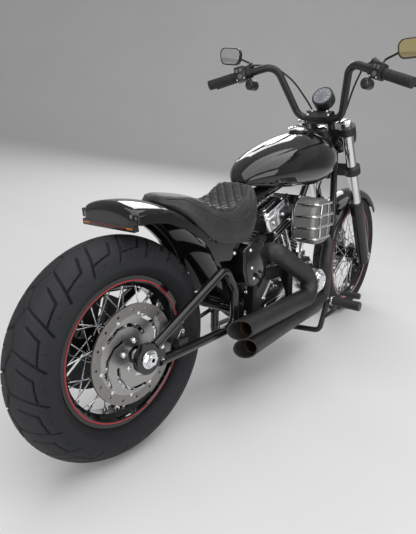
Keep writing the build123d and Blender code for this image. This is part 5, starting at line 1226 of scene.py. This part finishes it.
# The photograph's view: camera, floor and soft studio light
VIEW_YAW, VIEW_PITCH, VIEW_ROLL = radians(29.88), radians(-17.89), radians(2.79)
VIEW_FROM = Vector((-878, -1021, 909))
FLOOR_FROM, FLOOR_TO = -30.0, 5.0
FLOOR_HALF_WIDTH = 30
SWEEP_RADIUS = 3.0
WALL_TOP = 9.0


def camera_axes():
    """The camera's right, up and forward directions in the upright machine's frame."""
    level = Vector((cos(VIEW_YAW), sin(VIEW_YAW), 0))
    ahead = level * cos(VIEW_PITCH) + Z * sin(VIEW_PITCH)
    right = ahead.cross(Z).normalized()
    above = right.cross(ahead)
    turn, lift = cos(VIEW_ROLL), sin(VIEW_ROLL)
    return right * turn + above * lift, above * turn - right * lift, ahead


right, above, ahead = (TURN @ axis for axis in camera_axes())
lens = bpy.data.cameras.new("view")
lens.sensor_width = 36.0
lens.lens = 32.89
lens.shift_x = -0.1298
lens.shift_y = 0.0566
lens.clip_start = 0.02
lens.clip_end = 60
camera = bpy.data.objects.new("view", lens)
scene.collection.objects.link(camera)
turned = Matrix((right, above, -ahead)).transposed().to_4x4()
camera.matrix_world = Matrix.Translation(STANCE @ VIEW_FROM) @ turned
scene.camera = camera

g = Graph("pale_floor")
g.set(color=g.mix(g.noise(1.5, 4, 0.5), (0.66, 0.66, 0.66), (0.72, 0.72, 0.72)), rough=0.7, spec=0.2)
rows = [(FLOOR_FROM + (FLOOR_TO - FLOOR_FROM) * step / 12, 0.0) for step in range(12)]
for angle in (pi / 2 * step / 12 for step in range(13)):
    rows.append((FLOOR_TO + SWEEP_RADIUS * sin(angle), SWEEP_RADIUS - SWEEP_RADIUS * cos(angle)))
rows.append((FLOOR_TO + SWEEP_RADIUS, WALL_TOP))
heading = Vector((ahead.x, ahead.y, 0)).normalized()
across = Vector((-heading.y, heading.x, 0)) * FLOOR_HALF_WIDTH
shape = bmesh.new()
grid = []
for along, height in rows:
    grid.append([shape.verts.new(heading * along + across * side + Z * height) for side in (-1, 1)])
for low, high in zip(grid, grid[1:]):
    shape.faces.new([low[0], low[1], high[1], high[0]])
bmesh.ops.recalc_face_normals(shape, faces=shape.faces)
floor_mesh = bpy.data.meshes.new("floor")
shape.to_mesh(floor_mesh)
shape.free()
floor_mesh.polygons.foreach_set("use_smooth", [True] * len(floor_mesh.polygons))
floor_mesh.materials.append(g.material)
floor = bpy.data.objects.new("floor", floor_mesh)
scene.collection.objects.link(floor)


def lamp(name, at, aim, size, power, color=(1, 1, 1)):
    light = bpy.data.lights.new(name, "AREA")
    light.shape = "RECTANGLE"
    light.size, light.size_y = size
    light.energy = power
    light.color = color
    item = bpy.data.objects.new(name, light)
    scene.collection.objects.link(item)
    facing = (Vector(aim) - Vector(at)).to_track_quat("-Z", "Y")
    item.matrix_world = Matrix.Translation(at) @ facing.to_matrix().to_4x4()


lamp("top_softbox", (-0.3, -0.6, 4.2), (0, 0, 0.3), (5.5, 4.5), 135)
lamp("right_softbox", (-1.0, -4.2, 2.0), (0, 0, 0.5), (4.5, 2.4), 78)
lamp("rear_strip", (-4.2, -0.6, 2.2), (0, 0, 0.6), (1.8, 2.6), 40)
lamp("front_rim", (2.8, 2.6, 2.8), (0, 0, 0.7), (2.2, 2.2), 60)

world = bpy.data.worlds.new("studio")
scene.world = world
world.use_nodes = True
world.node_tree.nodes["Background"].inputs["Color"].default_value = (0.9, 0.9, 0.9, 1)
world.node_tree.nodes["Background"].inputs["Strength"].default_value = 0.36
scene.view_settings.view_transform = "Standard"
